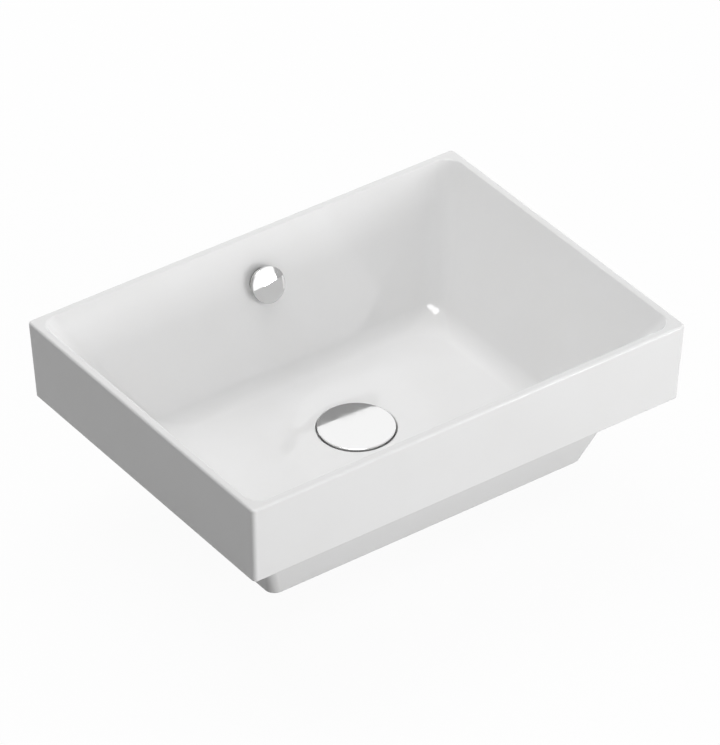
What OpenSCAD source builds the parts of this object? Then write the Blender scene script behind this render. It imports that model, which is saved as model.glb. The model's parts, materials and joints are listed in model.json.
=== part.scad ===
// Semi recessed washbasin: a rectangular glazed bowl whose upper half stands on a worktop
// and whose tapered lower half drops through a cut-out, with an overflow cover, an internal
// overflow channel and a press-to-open waste. Millimetres, +Z up. The origin is on the axis
// of the drain, in the plane of the worktop that the ledge rests on. +Y points to the back.

/* [Rim box] */
// Width of the rim over its outer edges
rim_w = 500; // [440:5:600]
// Depth of the rim from front to back
rim_d = 370; // [320:5:450]
// Height of the rim above the worktop
rim_h = 85; // [60:1:110]
// Width of the top from the outer edge to where the inside starts to fall
rim_land = 8.5; // [6:0.5:14]
// Rounding of the outer top edge
rim_edge_r = 2.5; // [1:0.25:4]
// Rounding of the outer bottom edge
rim_foot_r = 1; // [0.5:0.25:2]
// Plan radius of the four outer corners
rim_corner_r = 4.5; // [3:0.5:12]
// Inward lean of the outer walls in degrees
rim_draft = 2; // [0.5:0.25:4]

/* [Lower tray] */
// Width of the tray where it meets the worktop plane
tray_w = 429; // [400:1:440]
// Depth of the tray where it meets the worktop plane
tray_d = 298; // [285:1:310]
// Depth of the tray below the worktop plane
tray_h = 85; // [80:1:100]
// Inward lean of the tray walls in degrees
tray_taper = 20; // [10:0.5:22]
// Plan radius of the tray corners
tray_corner_r = 10.5; // [6:0.5:20]
// Rounding of the bottom edge of the tray
tray_edge_r = 3; // [1:0.5:5]

/* [Bowl] */
// Drop from the rim to the flat round the drain
bowl_depth = 121.8; // [110:0.2:125]
// Fall of the floor from its edge to the drain
floor_fall = 2; // [0.5:0.25:3]
// Lean of the inner walls in degrees
wall_slope = 21.5; // [15:0.5:24]
// Rounding between the rim top and the inner wall
shoulder_r = 11; // [6:0.5:14]
// Radius of the fillet between wall and floor
floor_r = 50; // [35:1:60]
// Plan radius of the inner corners at the rim top
lip_corner_r = 18; // [14:0.5:30]
// Plan radius of the inner corners along the walls
wall_corner_r = 16; // [12:0.5:26]
// Plan radius of the inner corners at the floor
floor_corner_r = 38; // [24:1:50]

/* [Drain recess] */
// Width of the gap between the plug cap and the round recess that it lies in
recess_gap = 1.2; // [1:0.1:4]
// Depth of the recess below the floor
recess_depth = 7.2; // [6:0.2:9]
// Rounding of the top edge of the recess
recess_edge_r = 1.2; // [0.8:0.1:3]
// Fillet between the recess wall and the seat
recess_foot_r = 3; // [1:0.5:4]
// Radius of the drain hole
drain_hole_r = 23; // [22.6:0.1:24]
// Radius of the overflow gallery round the waste
gallery_r = 28; // [26:0.5:32]

/* [Underside] */
// Thickness of the tray walls round the hollow underside
skin_t = 13; // [10:0.5:16]
// Thickness of the bowl floor
floor_t = 16; // [12:0.5:18]
// Radius of the drain boss at its foot
boss_r = 40; // [38:0.5:46]
// Lean of the boss and of the walls of the hollow in degrees
pocket_draft = 3; // [1:0.5:5]
// Plan radius of the corners of the hollow
pocket_corner_r = 14; // [8:1:20]

/* [Overflow channel] */
// Drop from the rim to the centre of the overflow hole
overflow_drop = 40.6; // [36:0.2:48]
// Radius of the overflow hole
overflow_hole_r = 13; // [12.8:0.1:14]
// Width of the channel
channel_w = 36; // [30:1:42]
// Depth of the channel behind the back wall
channel_d = 9; // [7:0.5:11]
// Height of the channel under the floor
channel_h = 12; // [9:0.5:14]
// Thickness of the ceramic between bowl and channel
channel_skin = 9; // [7:0.5:10]
// Thickness of the ceramic on the outer side of the channel
channel_cover = 7; // [5:0.5:8]
// Radius of the outer edges of the channel rib
channel_edge_r = 6; // [3:0.5:8]

/* [Overflow cover] */
// Radius of the cover
cover_r = 18.6; // [17:0.1:20]
// Distance of the front of the cover from the wall
cover_reach = 7.7; // [7:0.1:9]
// Height of the side of the cover
cover_side = 3.6; // [3.2:0.1:5]
// Thickness of the cover plate and of its side
cover_t = 1.5; // [1:0.1:2]
// Rounding of the front edge of the cover
cover_edge_r = 0.6; // [0.3:0.1:1]
// Radius of the boss behind the cover
cover_boss_r = 3.6; // [3.2:0.1:5]
// Radius of the stud that holds the cover
stud_r = 2; // [1.5:0.1:2.5]
// Radius of the flange of the sleeve
sleeve_flange_r = 15.5; // [15:0.1:16.5]
// Thickness of the flange of the sleeve
sleeve_flange_t = 1.5; // [1:0.1:2]
// Thickness of the washer under the flange
sleeve_washer_t = 1; // [0.5:0.1:1.5]
// Thickness of the wall of the sleeve
sleeve_t = 1.5; // [1:0.1:2]
// Radius of the hub of the sleeve
sleeve_hub_r = 3.6; // [3.2:0.1:5]
// Length of the hub of the sleeve
sleeve_hub_h = 8; // [5:0.5:9]
// Thickness of the three ribs of the sleeve
sleeve_rib_t = 1.6; // [1:0.1:2.4]
// Height of the barb on the spring fingers
barb_h = 2.4; // [1.5:0.1:3]
// Reach of the barb beyond the hole
barb_reach = 0.9; // [0.5:0.1:1.2]
// Width of the slits between the spring fingers
finger_slit = 2.5; // [1.5:0.1:4]

/* [Waste] */
// Radius of the waste flange
flange_r = 33; // [31:0.5:35]
// Thickness of the waste flange at its edge
flange_t = 2.5; // [2:0.1:3]
// Thickness of the washer under the flange
flange_washer_t = 1.5; // [1:0.1:2]
// Radius where the top of the flange starts to fall
flange_dish_r = 30.5; // [28:0.5:31.5]
// Fall of the top of the flange towards the funnel
flange_fall = 0.6; // [0.3:0.1:0.9]
// Radius of the mouth of the funnel
funnel_r = 21.6; // [20.5:0.1:21.8]
// Depth of the funnel
funnel_h = 6; // [4:0.5:7]
// Radius of the neck below the flange
neck_r = 22.3; // [21.5:0.1:22.4]
// Length of the neck
neck_h = 6; // [4:0.5:8]
// Radius of the pipe thread over its crests, inch and a quarter
thread_r = 20.95; // [20.5:0.05:21.2]
// Radius of the bore
bore_r = 18.2; // [17.6:0.1:18.6]
// Length of the waste below its flange
waste_len = 78; // [76:1:100]
// Width of the groove that parts the thread of the nut from the thread of the trap
relief_w = 2; // [1.5:0.5:4]
// Depth of that groove
relief_d = 0.8; // [0.5:0.1:1.2]
// Bevel at the foot of the thread
thread_lead = 1; // [0.5:0.25:1.5]
// Height of the overflow slots
slot_h = 16; // [12:1:18]
// Width of the overflow slots
slot_w = 14; // [10:0.5:16]
// Number of overflow slots
slot_count = 4; // [3:1:5]
// Thickness of the ribs of the spider
spider_rib_t = 2.6; // [2:0.1:4]
// Height of the spider
spider_h = 6; // [4:0.5:8]
// Radius of the hub of the spider
spider_hub_r = 7.5; // [7:0.5:9]
// Number of ribs of the spider
spider_ribs = 3; // [3:1:5]

/* [Waste fastening] */
// Outer radius of the rubber seal and of the washer below the boss
seal_r = 31; // [29:0.5:34]
// Thickness of the rubber seal
seal_t = 5; // [3:0.5:6]
// Height of the part of the seal that enters the drain hole
seal_lip_h = 4; // [2:0.5:5]
// Thickness of the slip washer
slip_t = 1.5; // [1:0.1:2.5]
// Width of the back nut across its flats
nut_af = 55; // [50:1:60]
// Thickness of the back nut
nut_h = 8; // [6:0.5:10]

/* [Plug] */
// Radius of the plug cap
cap_r = 38; // [37:0.2:39]
// Height of the cap above the floor when it is closed
cap_proud = 1.6; // [0.8:0.1:2.4]
// Thickness of the cap
cap_t = 3; // [2.5:0.1:3.4]
// Rounding of the top edge of the cap
cap_edge_r = 0.7; // [0.3:0.1:1.2]
// Radius of the boss under the cap
cap_boss_r = 7; // [6:0.5:9]
// Height of the boss under the cap
cap_boss_h = 6; // [5:0.5:7]
// Radius of the plug carrier
carrier_r = 16.2; // [15:0.1:16.6]
// Height of the plug carrier
carrier_h = 6; // [5:0.5:7]
// Thickness of the plug seal along the axis
plug_seal_h = 2.6; // [2:0.1:3]
// Depth of the groove that holds the plug seal
plug_seal_groove = 2; // [1.5:0.1:2.5]
// Clearance of the plug seal in the bore
plug_seal_gap = 0.3; // [0.2:0.05:0.4]
// Lift of the plug from closed to open
plug_lift = 7; // [5:0.5:8]
// Extra stroke below closed that trips the latch
plug_press = 1.2; // [0.8:0.1:1.4]

/* [Cartridge] */
// Radius of the thread at the top of the stem
stem_thread_r = 3; // [2.5:0.1:3.4]
// Radius of the guided part of the stem
stem_r = 4; // [3.6:0.1:4.4]
// Radius of the head of the stem
stem_head_r = 5.4; // [5:0.1:5.5]
// Thickness of the head of the stem
stem_head_h = 3; // [2:0.1:4]
// Radius of the nose that centres the rotor
stem_nose_r = 1.8; // [1.4:0.1:2.2]
// Width of the lock nut across its flats
locknut_af = 10; // [9:0.5:11]
// Thickness of the lock nut
locknut_h = 3; // [2.5:0.1:3.5]
// Outer radius of the housing
housing_r = 8.5; // [8.2:0.1:9]
// Wall of the housing
housing_t = 1.6; // [1.2:0.1:1.8]
// Height of the collar that guides the stem
collar_h = 4; // [3.4:0.1:5]
// Length of the chamber below the collar
chamber_h = 25; // [24:0.5:30]
// Thickness of the ring seal round the stem
ring_seal_t = 1.5; // [1.2:0.1:1.8]
// Number of sloping guide ribs in the housing
guide_count = 4; // [3:1:5]
// Width of one guide rib, as an angle in degrees
guide_angle = 36; // [20:1:40]
// Height of a guide rib above the wall of the chamber
guide_rise = 1.1; // [0.8:0.1:1.2]
// Turn of the rotor over the lift of the plug in degrees
rotor_turn = 45; // [30:5:60]
// Height of the rotor
rotor_h = 5; // [4:0.5:6]
// Roof over the spring in the rotor
rotor_roof = 2; // [1.5:0.1:2.5]
// Mean radius of the spring
spring_r = 4.1; // [3.8:0.1:4.3]
// Thickness of the spring wire
spring_wire = 0.9; // [0.6:0.1:1]
// Number of turns of the spring
spring_turns = 6; // [4:1:7]
// Depth of the base plug in the housing
base_plug_h = 2; // [1.5:0.1:3]
// Thickness of the flange of the base
base_flange_t = 1.5; // [1.2:0.1:2.5]
// Radius of the stud of the base
base_stud_r = 4; // [3.5:0.1:4.5]
// Width of the base nut across its flats
base_nut_af = 13; // [12:0.5:14]
// Thickness of the base nut
base_nut_h = 4; // [3:0.5:5]

/* [Fits] */
// Radial clearance of a screwed or pushed fit
thread_gap = 0.05; // [0.03:0.01:0.08]
// Radial clearance of a part that slides or turns
slide_gap = 0.05; // [0.03:0.01:0.08]
// Free air between parts that pass each other
air_gap = 0.3; // [0.2:0.05:0.4]

/* [Smoothness] */
// Steps round each inner corner
bowl_corner_steps = 12; // [6:1:16]
// Steps up the floor fillet
floor_steps = 16; // [6:1:20]
// Steps round each outer corner
outer_corner_steps = 6; // [3:1:10]
// Facets of a full circle
round_fn = 72; // [36:6:120]

/* [Hidden] */
$fn = round_fn;

// One overrun serves all cuts
over = 1;
// Steps of a small rounding
edge_steps = 4;
// Steps of the floor from its edge to the drain
dish_steps = 5;
// Half height of the gallery as a share of the height of the channel
gallery_share = 0.75;
// Where the lip of the boss seal is cut off, as a share of its width
lip_top_share = 0.4;
// Where the plug seal starts to narrow, as a share of its reach
seal_root_share = 0.6;
// Spread of the bevel of a nut as a share of its height
nut_bevel_share = 0.9;

// Levels of the ceramic
floor_z = rim_h - bowl_depth;
floor_edge_z = floor_z + floor_fall;
seat_z = floor_z - recess_depth;
foot_z = -tray_h;
roof_z = floor_z - floor_t;

// Section of the bowl, as insets from the outer edge of the rim
turn = 90 - wall_slope;
brow_inset = rim_land + shoulder_r * tan(turn / 2);
heel_inset = brow_inset + (rim_h - floor_edge_z) * tan(wall_slope);
floor_inset = heel_inset + floor_r * tan(turn / 2);
recess_r = cap_r + recess_gap;
recess_mouth_r = recess_r + recess_edge_r;
dish_end_r = recess_mouth_r + over / 2;

// Place of the overflow hole on the back wall
overflow_z = rim_h - overflow_drop;
overflow_y = rim_d / 2 - brow_inset - overflow_drop * tan(wall_slope);
channel_back = channel_skin + channel_d;
rib_back = channel_back + channel_cover;
rib_w = channel_w + 2 * channel_cover;

// Levels of the overflow gallery round the waste
gallery_mid_z = (roof_z + foot_z) / 2;
gallery_top_z = gallery_mid_z + channel_h * gallery_share;
gallery_bottom_z = gallery_mid_z - channel_h * gallery_share;

// Levels of the waste
flange_z = seat_z + flange_washer_t;
flange_top_z = flange_z + flange_t;
funnel_foot_z = flange_top_z - funnel_h;
waste_foot_z = flange_z - waste_len;
neck_foot_z = flange_z - neck_h;
slip_z = foot_z - seal_t;
nut_z = slip_z - slip_t;
relief_z = nut_z - nut_h - relief_w / 2;

// Levels of the plug when closed
cap_top_z = floor_z + cap_proud;
cap_under_z = cap_top_z - cap_t;
carrier_top_z = cap_under_z - cap_boss_h;
carrier_foot_z = carrier_top_z - carrier_h;
plug_seal_top_z = funnel_foot_z - air_gap;
plug_seal_r = bore_r - plug_seal_gap;
locknut_foot_z = carrier_foot_z - locknut_h;

// Levels of the cartridge
housing_top_z = locknut_foot_z - plug_press - 2 * air_gap;
chamber_top_z = housing_top_z - collar_h;
chamber_r = housing_r - housing_t;
chamber_foot_z = chamber_top_z - chamber_h;
head_top_z = chamber_top_z - plug_lift - air_gap;
head_foot_z = head_top_z - stem_head_h;
rotor_top_z = head_foot_z - air_gap;
rotor_foot_z = rotor_top_z - rotor_h;
guide_r = chamber_r - guide_rise;
rotor_r = guide_r - air_gap;
rotor_lug_r = chamber_r - air_gap;
base_top_z = chamber_foot_z + base_plug_h;
hub_top_z = chamber_foot_z - base_flange_t;
hub_foot_z = hub_top_z - spider_h;
base_nut_foot_z = hub_foot_z - base_nut_h;
turn_per_mm = rotor_turn / plug_lift;

// One rounded rectangle as a closed ring of points
function ring(half_w, half_d, r, z, steps) = [
    for (corner = [0:3], i = [0:steps])
        let (
            a = 90 * (corner + i / steps),
            cx = (half_w - r) * (corner == 0 || corner == 3 ? 1 : -1),
            cy = (half_d - r) * (corner < 2 ? 1 : -1)
        )
        [cx + r * cos(a), cy + r * sin(a), z]
];

// A closed solid through a list of rings of equal length, listed from the top down
module loft(rings) {
    n = len(rings[0]);
    m = len(rings);
    points = [for (r = rings) each r];
    side = [
        for (k = [0:m - 2], i = [0:n - 1])
            let (j = (i + 1) % n)
            each [
                [k * n + i, k * n + j, (k + 1) * n + i],
                [k * n + j, (k + 1) * n + j, (k + 1) * n + i]
            ]
    ];
    top = [for (i = [n - 1:-1:0]) i];
    bottom = [for (i = [0:n - 1]) (m - 1) * n + i];
    polyhedron(points, concat([top], side, [bottom]), convexity = 6);
}

// Ring of the bowl at an inset from the outer edge of the rim
function bowl_ring(inset, r, z) =
    ring(rim_w / 2 - inset, rim_d / 2 - inset, r, z, bowl_corner_steps);

function mix(a, b, t) = a + (b - a) * t;

// The space inside the bowl, from above the rim down to the flat round the drain
module bowl_space() {
    shoulder = [
        for (i = [0:edge_steps + 2])
            let (t = i / (edge_steps + 2), a = turn * t)
            bowl_ring(
                rim_land + shoulder_r * sin(a),
                mix(lip_corner_r, wall_corner_r, t),
                rim_h - shoulder_r * (1 - cos(a))
            )
    ];
    fillet = [
        for (i = [0:floor_steps])
            let (t = i / floor_steps, a = turn * (1 - t))
            bowl_ring(
                floor_inset - floor_r * sin(a),
                mix(wall_corner_r, floor_corner_r, t),
                floor_edge_z + floor_r * (1 - cos(a))
            )
    ];
    dish = [
        for (i = [1:dish_steps])
            let (t = i / dish_steps)
            ring(
                mix(rim_w / 2 - floor_inset, dish_end_r, t),
                mix(rim_d / 2 - floor_inset, dish_end_r, t),
                mix(floor_corner_r, dish_end_r, t),
                floor_edge_z - floor_fall * (1 - cos(180 * t)) / 2,
                bowl_corner_steps
            )
    ];
    above = [bowl_ring(rim_land, lip_corner_r, rim_h + over)];
    loft(concat(above, shoulder, fillet, dish));
}

// The outer block above the worktop, cut flat in the plane of the ledge
module rim_block() {
    lean = tan(rim_draft);
    function block_ring(inset, z) = ring(
        rim_w / 2 - inset, rim_d / 2 - inset, max(rim_corner_r - inset / 2, rim_corner_r / 2),
        z, outer_corner_steps
    );
    top = [
        for (i = [0:edge_steps])
            let (a = 90 * i / edge_steps)
            block_ring(rim_edge_r * (1 - sin(a)), rim_h - rim_edge_r * (1 - cos(a)))
    ];
    side_foot = [block_ring((rim_h - rim_foot_r) * lean, rim_foot_r)];
    foot = [block_ring((rim_h - rim_foot_r) * lean + rim_foot_r, 0)];
    below = [block_ring((rim_h - rim_foot_r) * lean + rim_foot_r, -over)];
    intersection() {
        loft(concat(top, side_foot, foot, below));
        translate([-rim_w, -rim_d, 0])
            cube([2 * rim_w, 2 * rim_d, rim_h + over]);
    }
}

// The tapered lower block, with a rounded bottom edge
module tray_block() {
    lean = tan(tray_taper);
    function tray_ring(inset, z) = ring(
        tray_w / 2 - inset, tray_d / 2 - inset, tray_corner_r, z, outer_corner_steps
    );
    start = [tray_ring(-over * lean, over)];
    edge = [
        for (i = [0:edge_steps])
            let (
                a = 90 * i / edge_steps,
                drop = tray_edge_r * (1 - sin(a))
            )
            tray_ring((tray_h - drop) * lean + tray_edge_r * (1 - cos(a)), drop - tray_h)
    ];
    loft(concat(start, edge));
}

// Frame of the overflow: its z axis leaves the back wall at right angles, its y axis climbs
// the wall, and its origin is the centre of the hole in the wall
module at_overflow() {
    translate([0, overflow_y, overflow_z])
        rotate([turn, 0, 0])
            children();
}

// Rounded rib on the back of the tray that carries the overflow channel down
module channel_rib() {
    reach = (overflow_z + tray_h + rib_back) / cos(wall_slope);
    intersection() {
        at_overflow()
            translate([0, -reach, 0])
                rotate([-90, 0, 0])
                    linear_extrude(2 * reach)
                        union() {
                            translate([-rib_w / 2, 0])
                                square([rib_w, rib_back - channel_edge_r]);
                            translate([channel_edge_r - rib_w / 2, 0])
                                square([rib_w - 2 * channel_edge_r, rib_back]);
                            for (s = [-1, 1])
                                translate([s * (rib_w / 2 - channel_edge_r), rib_back - channel_edge_r])
                                    circle(channel_edge_r);
                        }
        translate([-rib_w, 0, foot_z])
            cube([2 * rib_w, rim_d / 2, tray_h]);
    }
}

// The way of the overflow water: down behind the back wall and forward under the floor
module overflow_channel() {
    top = overflow_hole_r + channel_cover / 2;
    fall = (overflow_z - gallery_mid_z) / cos(wall_slope);
    at_overflow() {
        translate([-channel_w / 2, -fall, -channel_back])
            cube([channel_w, fall + top, channel_d]);
        translate([0, 0, -channel_back + channel_d / 2])
            cylinder(h = channel_back, r = overflow_hole_r);
    }
    end_y = overflow_y - (fall * sin(wall_slope)) + channel_back * cos(wall_slope);
    translate([-channel_w / 2, 0, gallery_mid_z - channel_h / 2])
        cube([channel_w, end_y, channel_h]);
}

// Hollow of the underside, left open at the bottom round the drain boss and the channel
module underside_hollow() {
    lean = tan(pocket_draft);
    base_w = tray_w / 2 - tray_h * tan(tray_taper) - skin_t;
    base_d = tray_d / 2 - tray_h * tan(tray_taper) - skin_t;
    rise = roof_z - foot_z;
    difference() {
        loft([
            ring(base_w - rise * lean, base_d - rise * lean, pocket_corner_r, roof_z,
                outer_corner_steps),
            ring(base_w + over * lean, base_d + over * lean, pocket_corner_r, foot_z - over,
                outer_corner_steps)
        ]);
        translate([0, 0, foot_z - over])
            cylinder(h = rise + 2 * over, r1 = boss_r - over * lean, r2 = boss_r + (rise + over) * lean);
        translate([-rib_w / 2, 0, foot_z - 2 * over])
            cube([rib_w, rim_d / 2, rise + 3 * over]);
    }
}

// Round recess for the plug cap and the flange, with a rounded mouth and foot
module drain_recess() {
    rotate_extrude()
        polygon(concat(
            [[0, floor_z + over], [recess_mouth_r, floor_z + over]],
            [
                for (i = [0:edge_steps])
                    let (a = 90 * i / edge_steps)
                    [
                        recess_mouth_r - recess_edge_r * sin(a),
                        floor_z - recess_edge_r * (1 - cos(a))
                    ]
            ],
            [
                for (i = [0:edge_steps])
                    let (a = 90 * i / edge_steps)
                    [
                        recess_r - recess_foot_r * (1 - cos(a)),
                        seat_z + recess_foot_r * (1 - sin(a))
                    ]
            ],
            [[0, seat_z]]
        ));
}

module basin_body() {
    color("white")
        difference() {
            union() {
                rim_block();
                tray_block();
                channel_rib();
            }
            bowl_space();
            drain_recess();
            translate([0, 0, foot_z - over])
                cylinder(h = seat_z - foot_z + 2 * over, r = drain_hole_r);
            translate([0, 0, gallery_bottom_z])
                cylinder(h = gallery_top_z - gallery_bottom_z, r = gallery_r);
            overflow_channel();
            underside_hollow();
        }
}

// Round cover of the overflow: a shallow cup on a boss that stands on the sleeve
module overflow_cover() {
    boss_foot = sleeve_washer_t + sleeve_flange_t;
    color("silver")
        at_overflow()
            rotate_extrude()
                polygon(concat(
                    [
                        [0, cover_reach],
                        [0, cover_reach - cover_t / 2],
                        [stud_r + thread_gap, cover_reach - cover_t / 2],
                        [stud_r + thread_gap, boss_foot],
                        [cover_boss_r, boss_foot],
                        [cover_boss_r, cover_reach - cover_t],
                        [cover_r - cover_t, cover_reach - cover_t],
                        [cover_r - cover_t, cover_reach - cover_side],
                        [cover_r, cover_reach - cover_side]
                    ],
                    [
                        for (i = [0:edge_steps])
                            let (a = 90 * i / edge_steps)
                            [
                                cover_r - cover_edge_r * (1 - cos(a)),
                                cover_reach - cover_edge_r * (1 - sin(a))
                            ]
                    ]
                ));
}

// Threaded stud from the boss of the cover into the hub of the sleeve
module overflow_stud() {
    color("goldenrod")
        at_overflow()
            translate([0, 0, sleeve_washer_t + sleeve_flange_t - sleeve_hub_h])
                cylinder(
                    h = cover_reach - cover_t / 2 - air_gap - sleeve_washer_t - sleeve_flange_t
                        + sleeve_hub_h,
                    r = stud_r
                );
}

// Flanged sleeve with spring fingers that snap behind the ceramic and a ribbed hub
module overflow_sleeve() {
    top = sleeve_washer_t + sleeve_flange_t;
    tube_r = overflow_hole_r - 2 * air_gap;
    tube_in = tube_r - sleeve_t;
    grip = channel_skin + air_gap;
    foot = grip + barb_h;
    color("gainsboro")
        at_overflow() {
            difference() {
                rotate_extrude()
                    polygon([
                        [tube_in, top],
                        [sleeve_flange_r, top],
                        [sleeve_flange_r, sleeve_washer_t],
                        [tube_r, sleeve_washer_t],
                        [tube_r, -grip],
                        [overflow_hole_r + barb_reach, -grip],
                        [tube_r, -foot],
                        [tube_in, -foot]
                    ]);
                for (k = [0:3])
                    rotate([0, 0, 45 + 90 * k])
                        translate([0, -finger_slit / 2, -foot - over])
                            cube([sleeve_flange_r, finger_slit, foot + over - sleeve_t]);
            }
            difference() {
                union() {
                    translate([0, 0, top - sleeve_hub_h])
                        cylinder(h = sleeve_hub_h, r = sleeve_hub_r);
                    for (k = [0:2])
                        rotate([0, 0, 90 + 120 * k])
                            translate([0, -sleeve_rib_t / 2, -sleeve_t / 2])
                                cube([tube_in + sleeve_t / 2, sleeve_rib_t, top - sleeve_t / 2]);
                }
                translate([0, 0, top - sleeve_hub_h - over])
                    cylinder(h = sleeve_hub_h + 2 * over, r = stud_r + thread_gap);
            }
        }
}

module tube(r_out, r_in, h) {
    difference() {
        cylinder(h = h, r = r_out);
        translate([0, 0, -over])
            cylinder(h = h + 2 * over, r = r_in);
    }
}

module overflow_washer() {
    color("dimgray")
        at_overflow()
            tube(sleeve_flange_r, overflow_hole_r - air_gap, sleeve_washer_t);
}

// Flanged and slotted waste pipe with a spider for the cartridge
module waste_body() {
    slot_top_z = gallery_mid_z + slot_h / 2;
    color("silver")
        difference() {
            union() {
                rotate_extrude()
                    polygon([
                        [bore_r, funnel_foot_z],
                        [funnel_r, flange_top_z - flange_fall],
                        [flange_dish_r, flange_top_z],
                        [flange_r - flange_t / 4, flange_top_z],
                        [flange_r, flange_top_z - flange_t / 4],
                        [flange_r, flange_z],
                        [neck_r, flange_z],
                        [neck_r, neck_foot_z],
                        [thread_r, neck_foot_z - (neck_r - thread_r)],
                        [thread_r, relief_z],
                        [thread_r - relief_d, relief_z],
                        [thread_r - relief_d, relief_z - relief_w],
                        [thread_r, relief_z - relief_w],
                        [thread_r, waste_foot_z + thread_lead],
                        [thread_r - thread_lead, waste_foot_z],
                        [bore_r, waste_foot_z]
                    ]);
                spider();
            }
            for (k = [0:slot_count - 1])
                rotate([0, 0, 360 * (k + 1 / 2) / slot_count])
                    translate([bore_r / 2, 0, slot_top_z - slot_h])
                        slot_cut();
        }
}

// Ribs and drilled hub that carry the cartridge on the axis of the waste
module spider() {
    difference() {
        union() {
            translate([0, 0, hub_foot_z])
                cylinder(h = spider_h, r = spider_hub_r);
            for (k = [0:spider_ribs - 1])
                rotate([0, 0, 90 + 360 * k / spider_ribs])
                    translate([0, -spider_rib_t / 2, hub_foot_z + spider_h / 4])
                        cube([(bore_r + thread_r) / 2, spider_rib_t, spider_h / 2]);
        }
        translate([0, 0, hub_foot_z - over])
            cylinder(h = spider_h + 2 * over, r = base_stud_r + thread_gap);
    }
}

// Slot with half round ends, cut outwards through the pipe wall
module slot_cut() {
    rotate([90, 0, 90])
        linear_extrude(thread_r)
            union() {
                translate([-slot_w / 2, slot_w / 2])
                    square([slot_w, max(slot_h - slot_w, 0)]);
                translate([0, slot_w / 2])
                    circle(slot_w / 2);
                translate([0, max(slot_h, slot_w) - slot_w / 2])
                    circle(slot_w / 2);
            }
}

module flange_washer() {
    color("dimgray")
        translate([0, 0, seat_z])
            tube(flange_r - flange_t / 2, drain_hole_r + flange_washer_t, flange_washer_t);
}

// Rubber seal below the boss, with a tapered lip that enters the drain hole
module boss_seal() {
    in_r = thread_r + 2 * thread_gap;
    lip_r = drain_hole_r - air_gap / 2;
    color("dimgray")
        rotate_extrude()
            polygon([
                [in_r, slip_z],
                [seal_r, slip_z],
                [seal_r, foot_z],
                [lip_r, foot_z],
                [mix(in_r, lip_r, lip_top_share), foot_z + seal_lip_h],
                [in_r, foot_z + seal_lip_h]
            ]);
}

module slip_washer() {
    color("ivory")
        translate([0, 0, nut_z])
            tube(seal_r, thread_r + 2 * thread_gap, slip_t);
}

module hex_nut(af, h, r_in) {
    difference() {
        intersection() {
            cylinder(h = h, r = af / 2 / cos(30), $fn = 6);
            translate([0, 0, -h / 4])
                cylinder(h = h, r1 = af / 2 / cos(30) + h * nut_bevel_share, r2 = af / 2);
            cylinder(h = h + over, r = af / 2 / cos(30));
        }
        translate([0, 0, -over])
            cylinder(h = h + 2 * over, r = r_in);
    }
}

module back_nut() {
    color("goldenrod")
        translate([0, 0, nut_z])
            mirror([0, 0, 1])
                hex_nut(nut_af, nut_h, thread_r + thread_gap);
}

// Flat chrome cap with a threaded boss below
module plug_cap() {
    color("silver")
        rotate_extrude()
            polygon(concat(
                [
                    [0, cap_top_z],
                    [0, cap_under_z],
                    [stem_thread_r + thread_gap, cap_under_z],
                    [stem_thread_r + thread_gap, carrier_top_z],
                    [cap_boss_r, carrier_top_z],
                    [cap_boss_r, cap_under_z],
                    [cap_r - cap_edge_r, cap_under_z],
                    [cap_r, cap_under_z + cap_edge_r]
                ],
                [
                    for (i = [0:edge_steps])
                        let (a = 90 * i / edge_steps)
                        [cap_r - cap_edge_r * (1 - cos(a)), cap_top_z - cap_edge_r * (1 - sin(a))]
                ]
            ));
}

// Plastic plug under the cap, with a groove for its seal
module plug_carrier() {
    groove_r = carrier_r - plug_seal_groove;
    groove_foot_z = plug_seal_top_z - plug_seal_h;
    color("lightgray")
        rotate_extrude()
            polygon([
                [stem_thread_r + thread_gap, carrier_top_z],
                [carrier_r - carrier_h / 4, carrier_top_z],
                [carrier_r, carrier_top_z - carrier_h / 4],
                [carrier_r, plug_seal_top_z],
                [groove_r, plug_seal_top_z],
                [groove_r, groove_foot_z],
                [carrier_r, groove_foot_z],
                [carrier_r - (groove_foot_z - carrier_foot_z), carrier_foot_z],
                [stem_thread_r + thread_gap, carrier_foot_z]
            ]);
}

// Rubber ring of the plug, with a thin lip that wipes the bore
module plug_seal() {
    groove_r = carrier_r - plug_seal_groove;
    lip_z = plug_seal_top_z - plug_seal_h / 2;
    color("dimgray")
        rotate_extrude()
            polygon([
                [groove_r, plug_seal_top_z],
                [mix(groove_r, plug_seal_r, seal_root_share), plug_seal_top_z],
                [plug_seal_r, lip_z],
                [mix(groove_r, plug_seal_r, seal_root_share), plug_seal_top_z - plug_seal_h],
                [groove_r, plug_seal_top_z - plug_seal_h]
            ]);
}

// Stem: threaded top, guided shaft, head that pushes the rotor and a centring nose
module plug_stem() {
    thread_top_z = cap_under_z - air_gap;
    shaft_top_z = locknut_foot_z;
    color("goldenrod")
        rotate_extrude()
            polygon([
                [0, thread_top_z],
                [stem_thread_r, thread_top_z],
                [stem_thread_r, shaft_top_z],
                [stem_r, shaft_top_z],
                [stem_r, head_top_z],
                [stem_head_r, head_top_z],
                [stem_head_r, head_foot_z],
                [stem_nose_r, head_foot_z],
                [stem_nose_r, rotor_foot_z],
                [0, rotor_foot_z]
            ]);
}

module stem_locknut() {
    color("goldenrod")
        translate([0, 0, locknut_foot_z])
            hex_nut(locknut_af, locknut_h, stem_thread_r + thread_gap);
}

// One sloping rib or lug: a ring sector that turns as it climbs
module sloping_lug(r_in, r_out, angle, h) {
    steps = 3;
    slices = 6;
    function sector(turned, z) = [
        for (side = [0:1], i = [0:steps])
            let (
                t = (side == 0 ? i : steps - i) / steps,
                a = turned + angle * (t - 1 / 2),
                r = side == 0 ? r_out : r_in
            )
            [r * cos(a), r * sin(a), z]
    ];
    loft([for (k = [slices:-1:0]) let (z = h * k / slices) sector(turn_per_mm * z, z)]);
}

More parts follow.
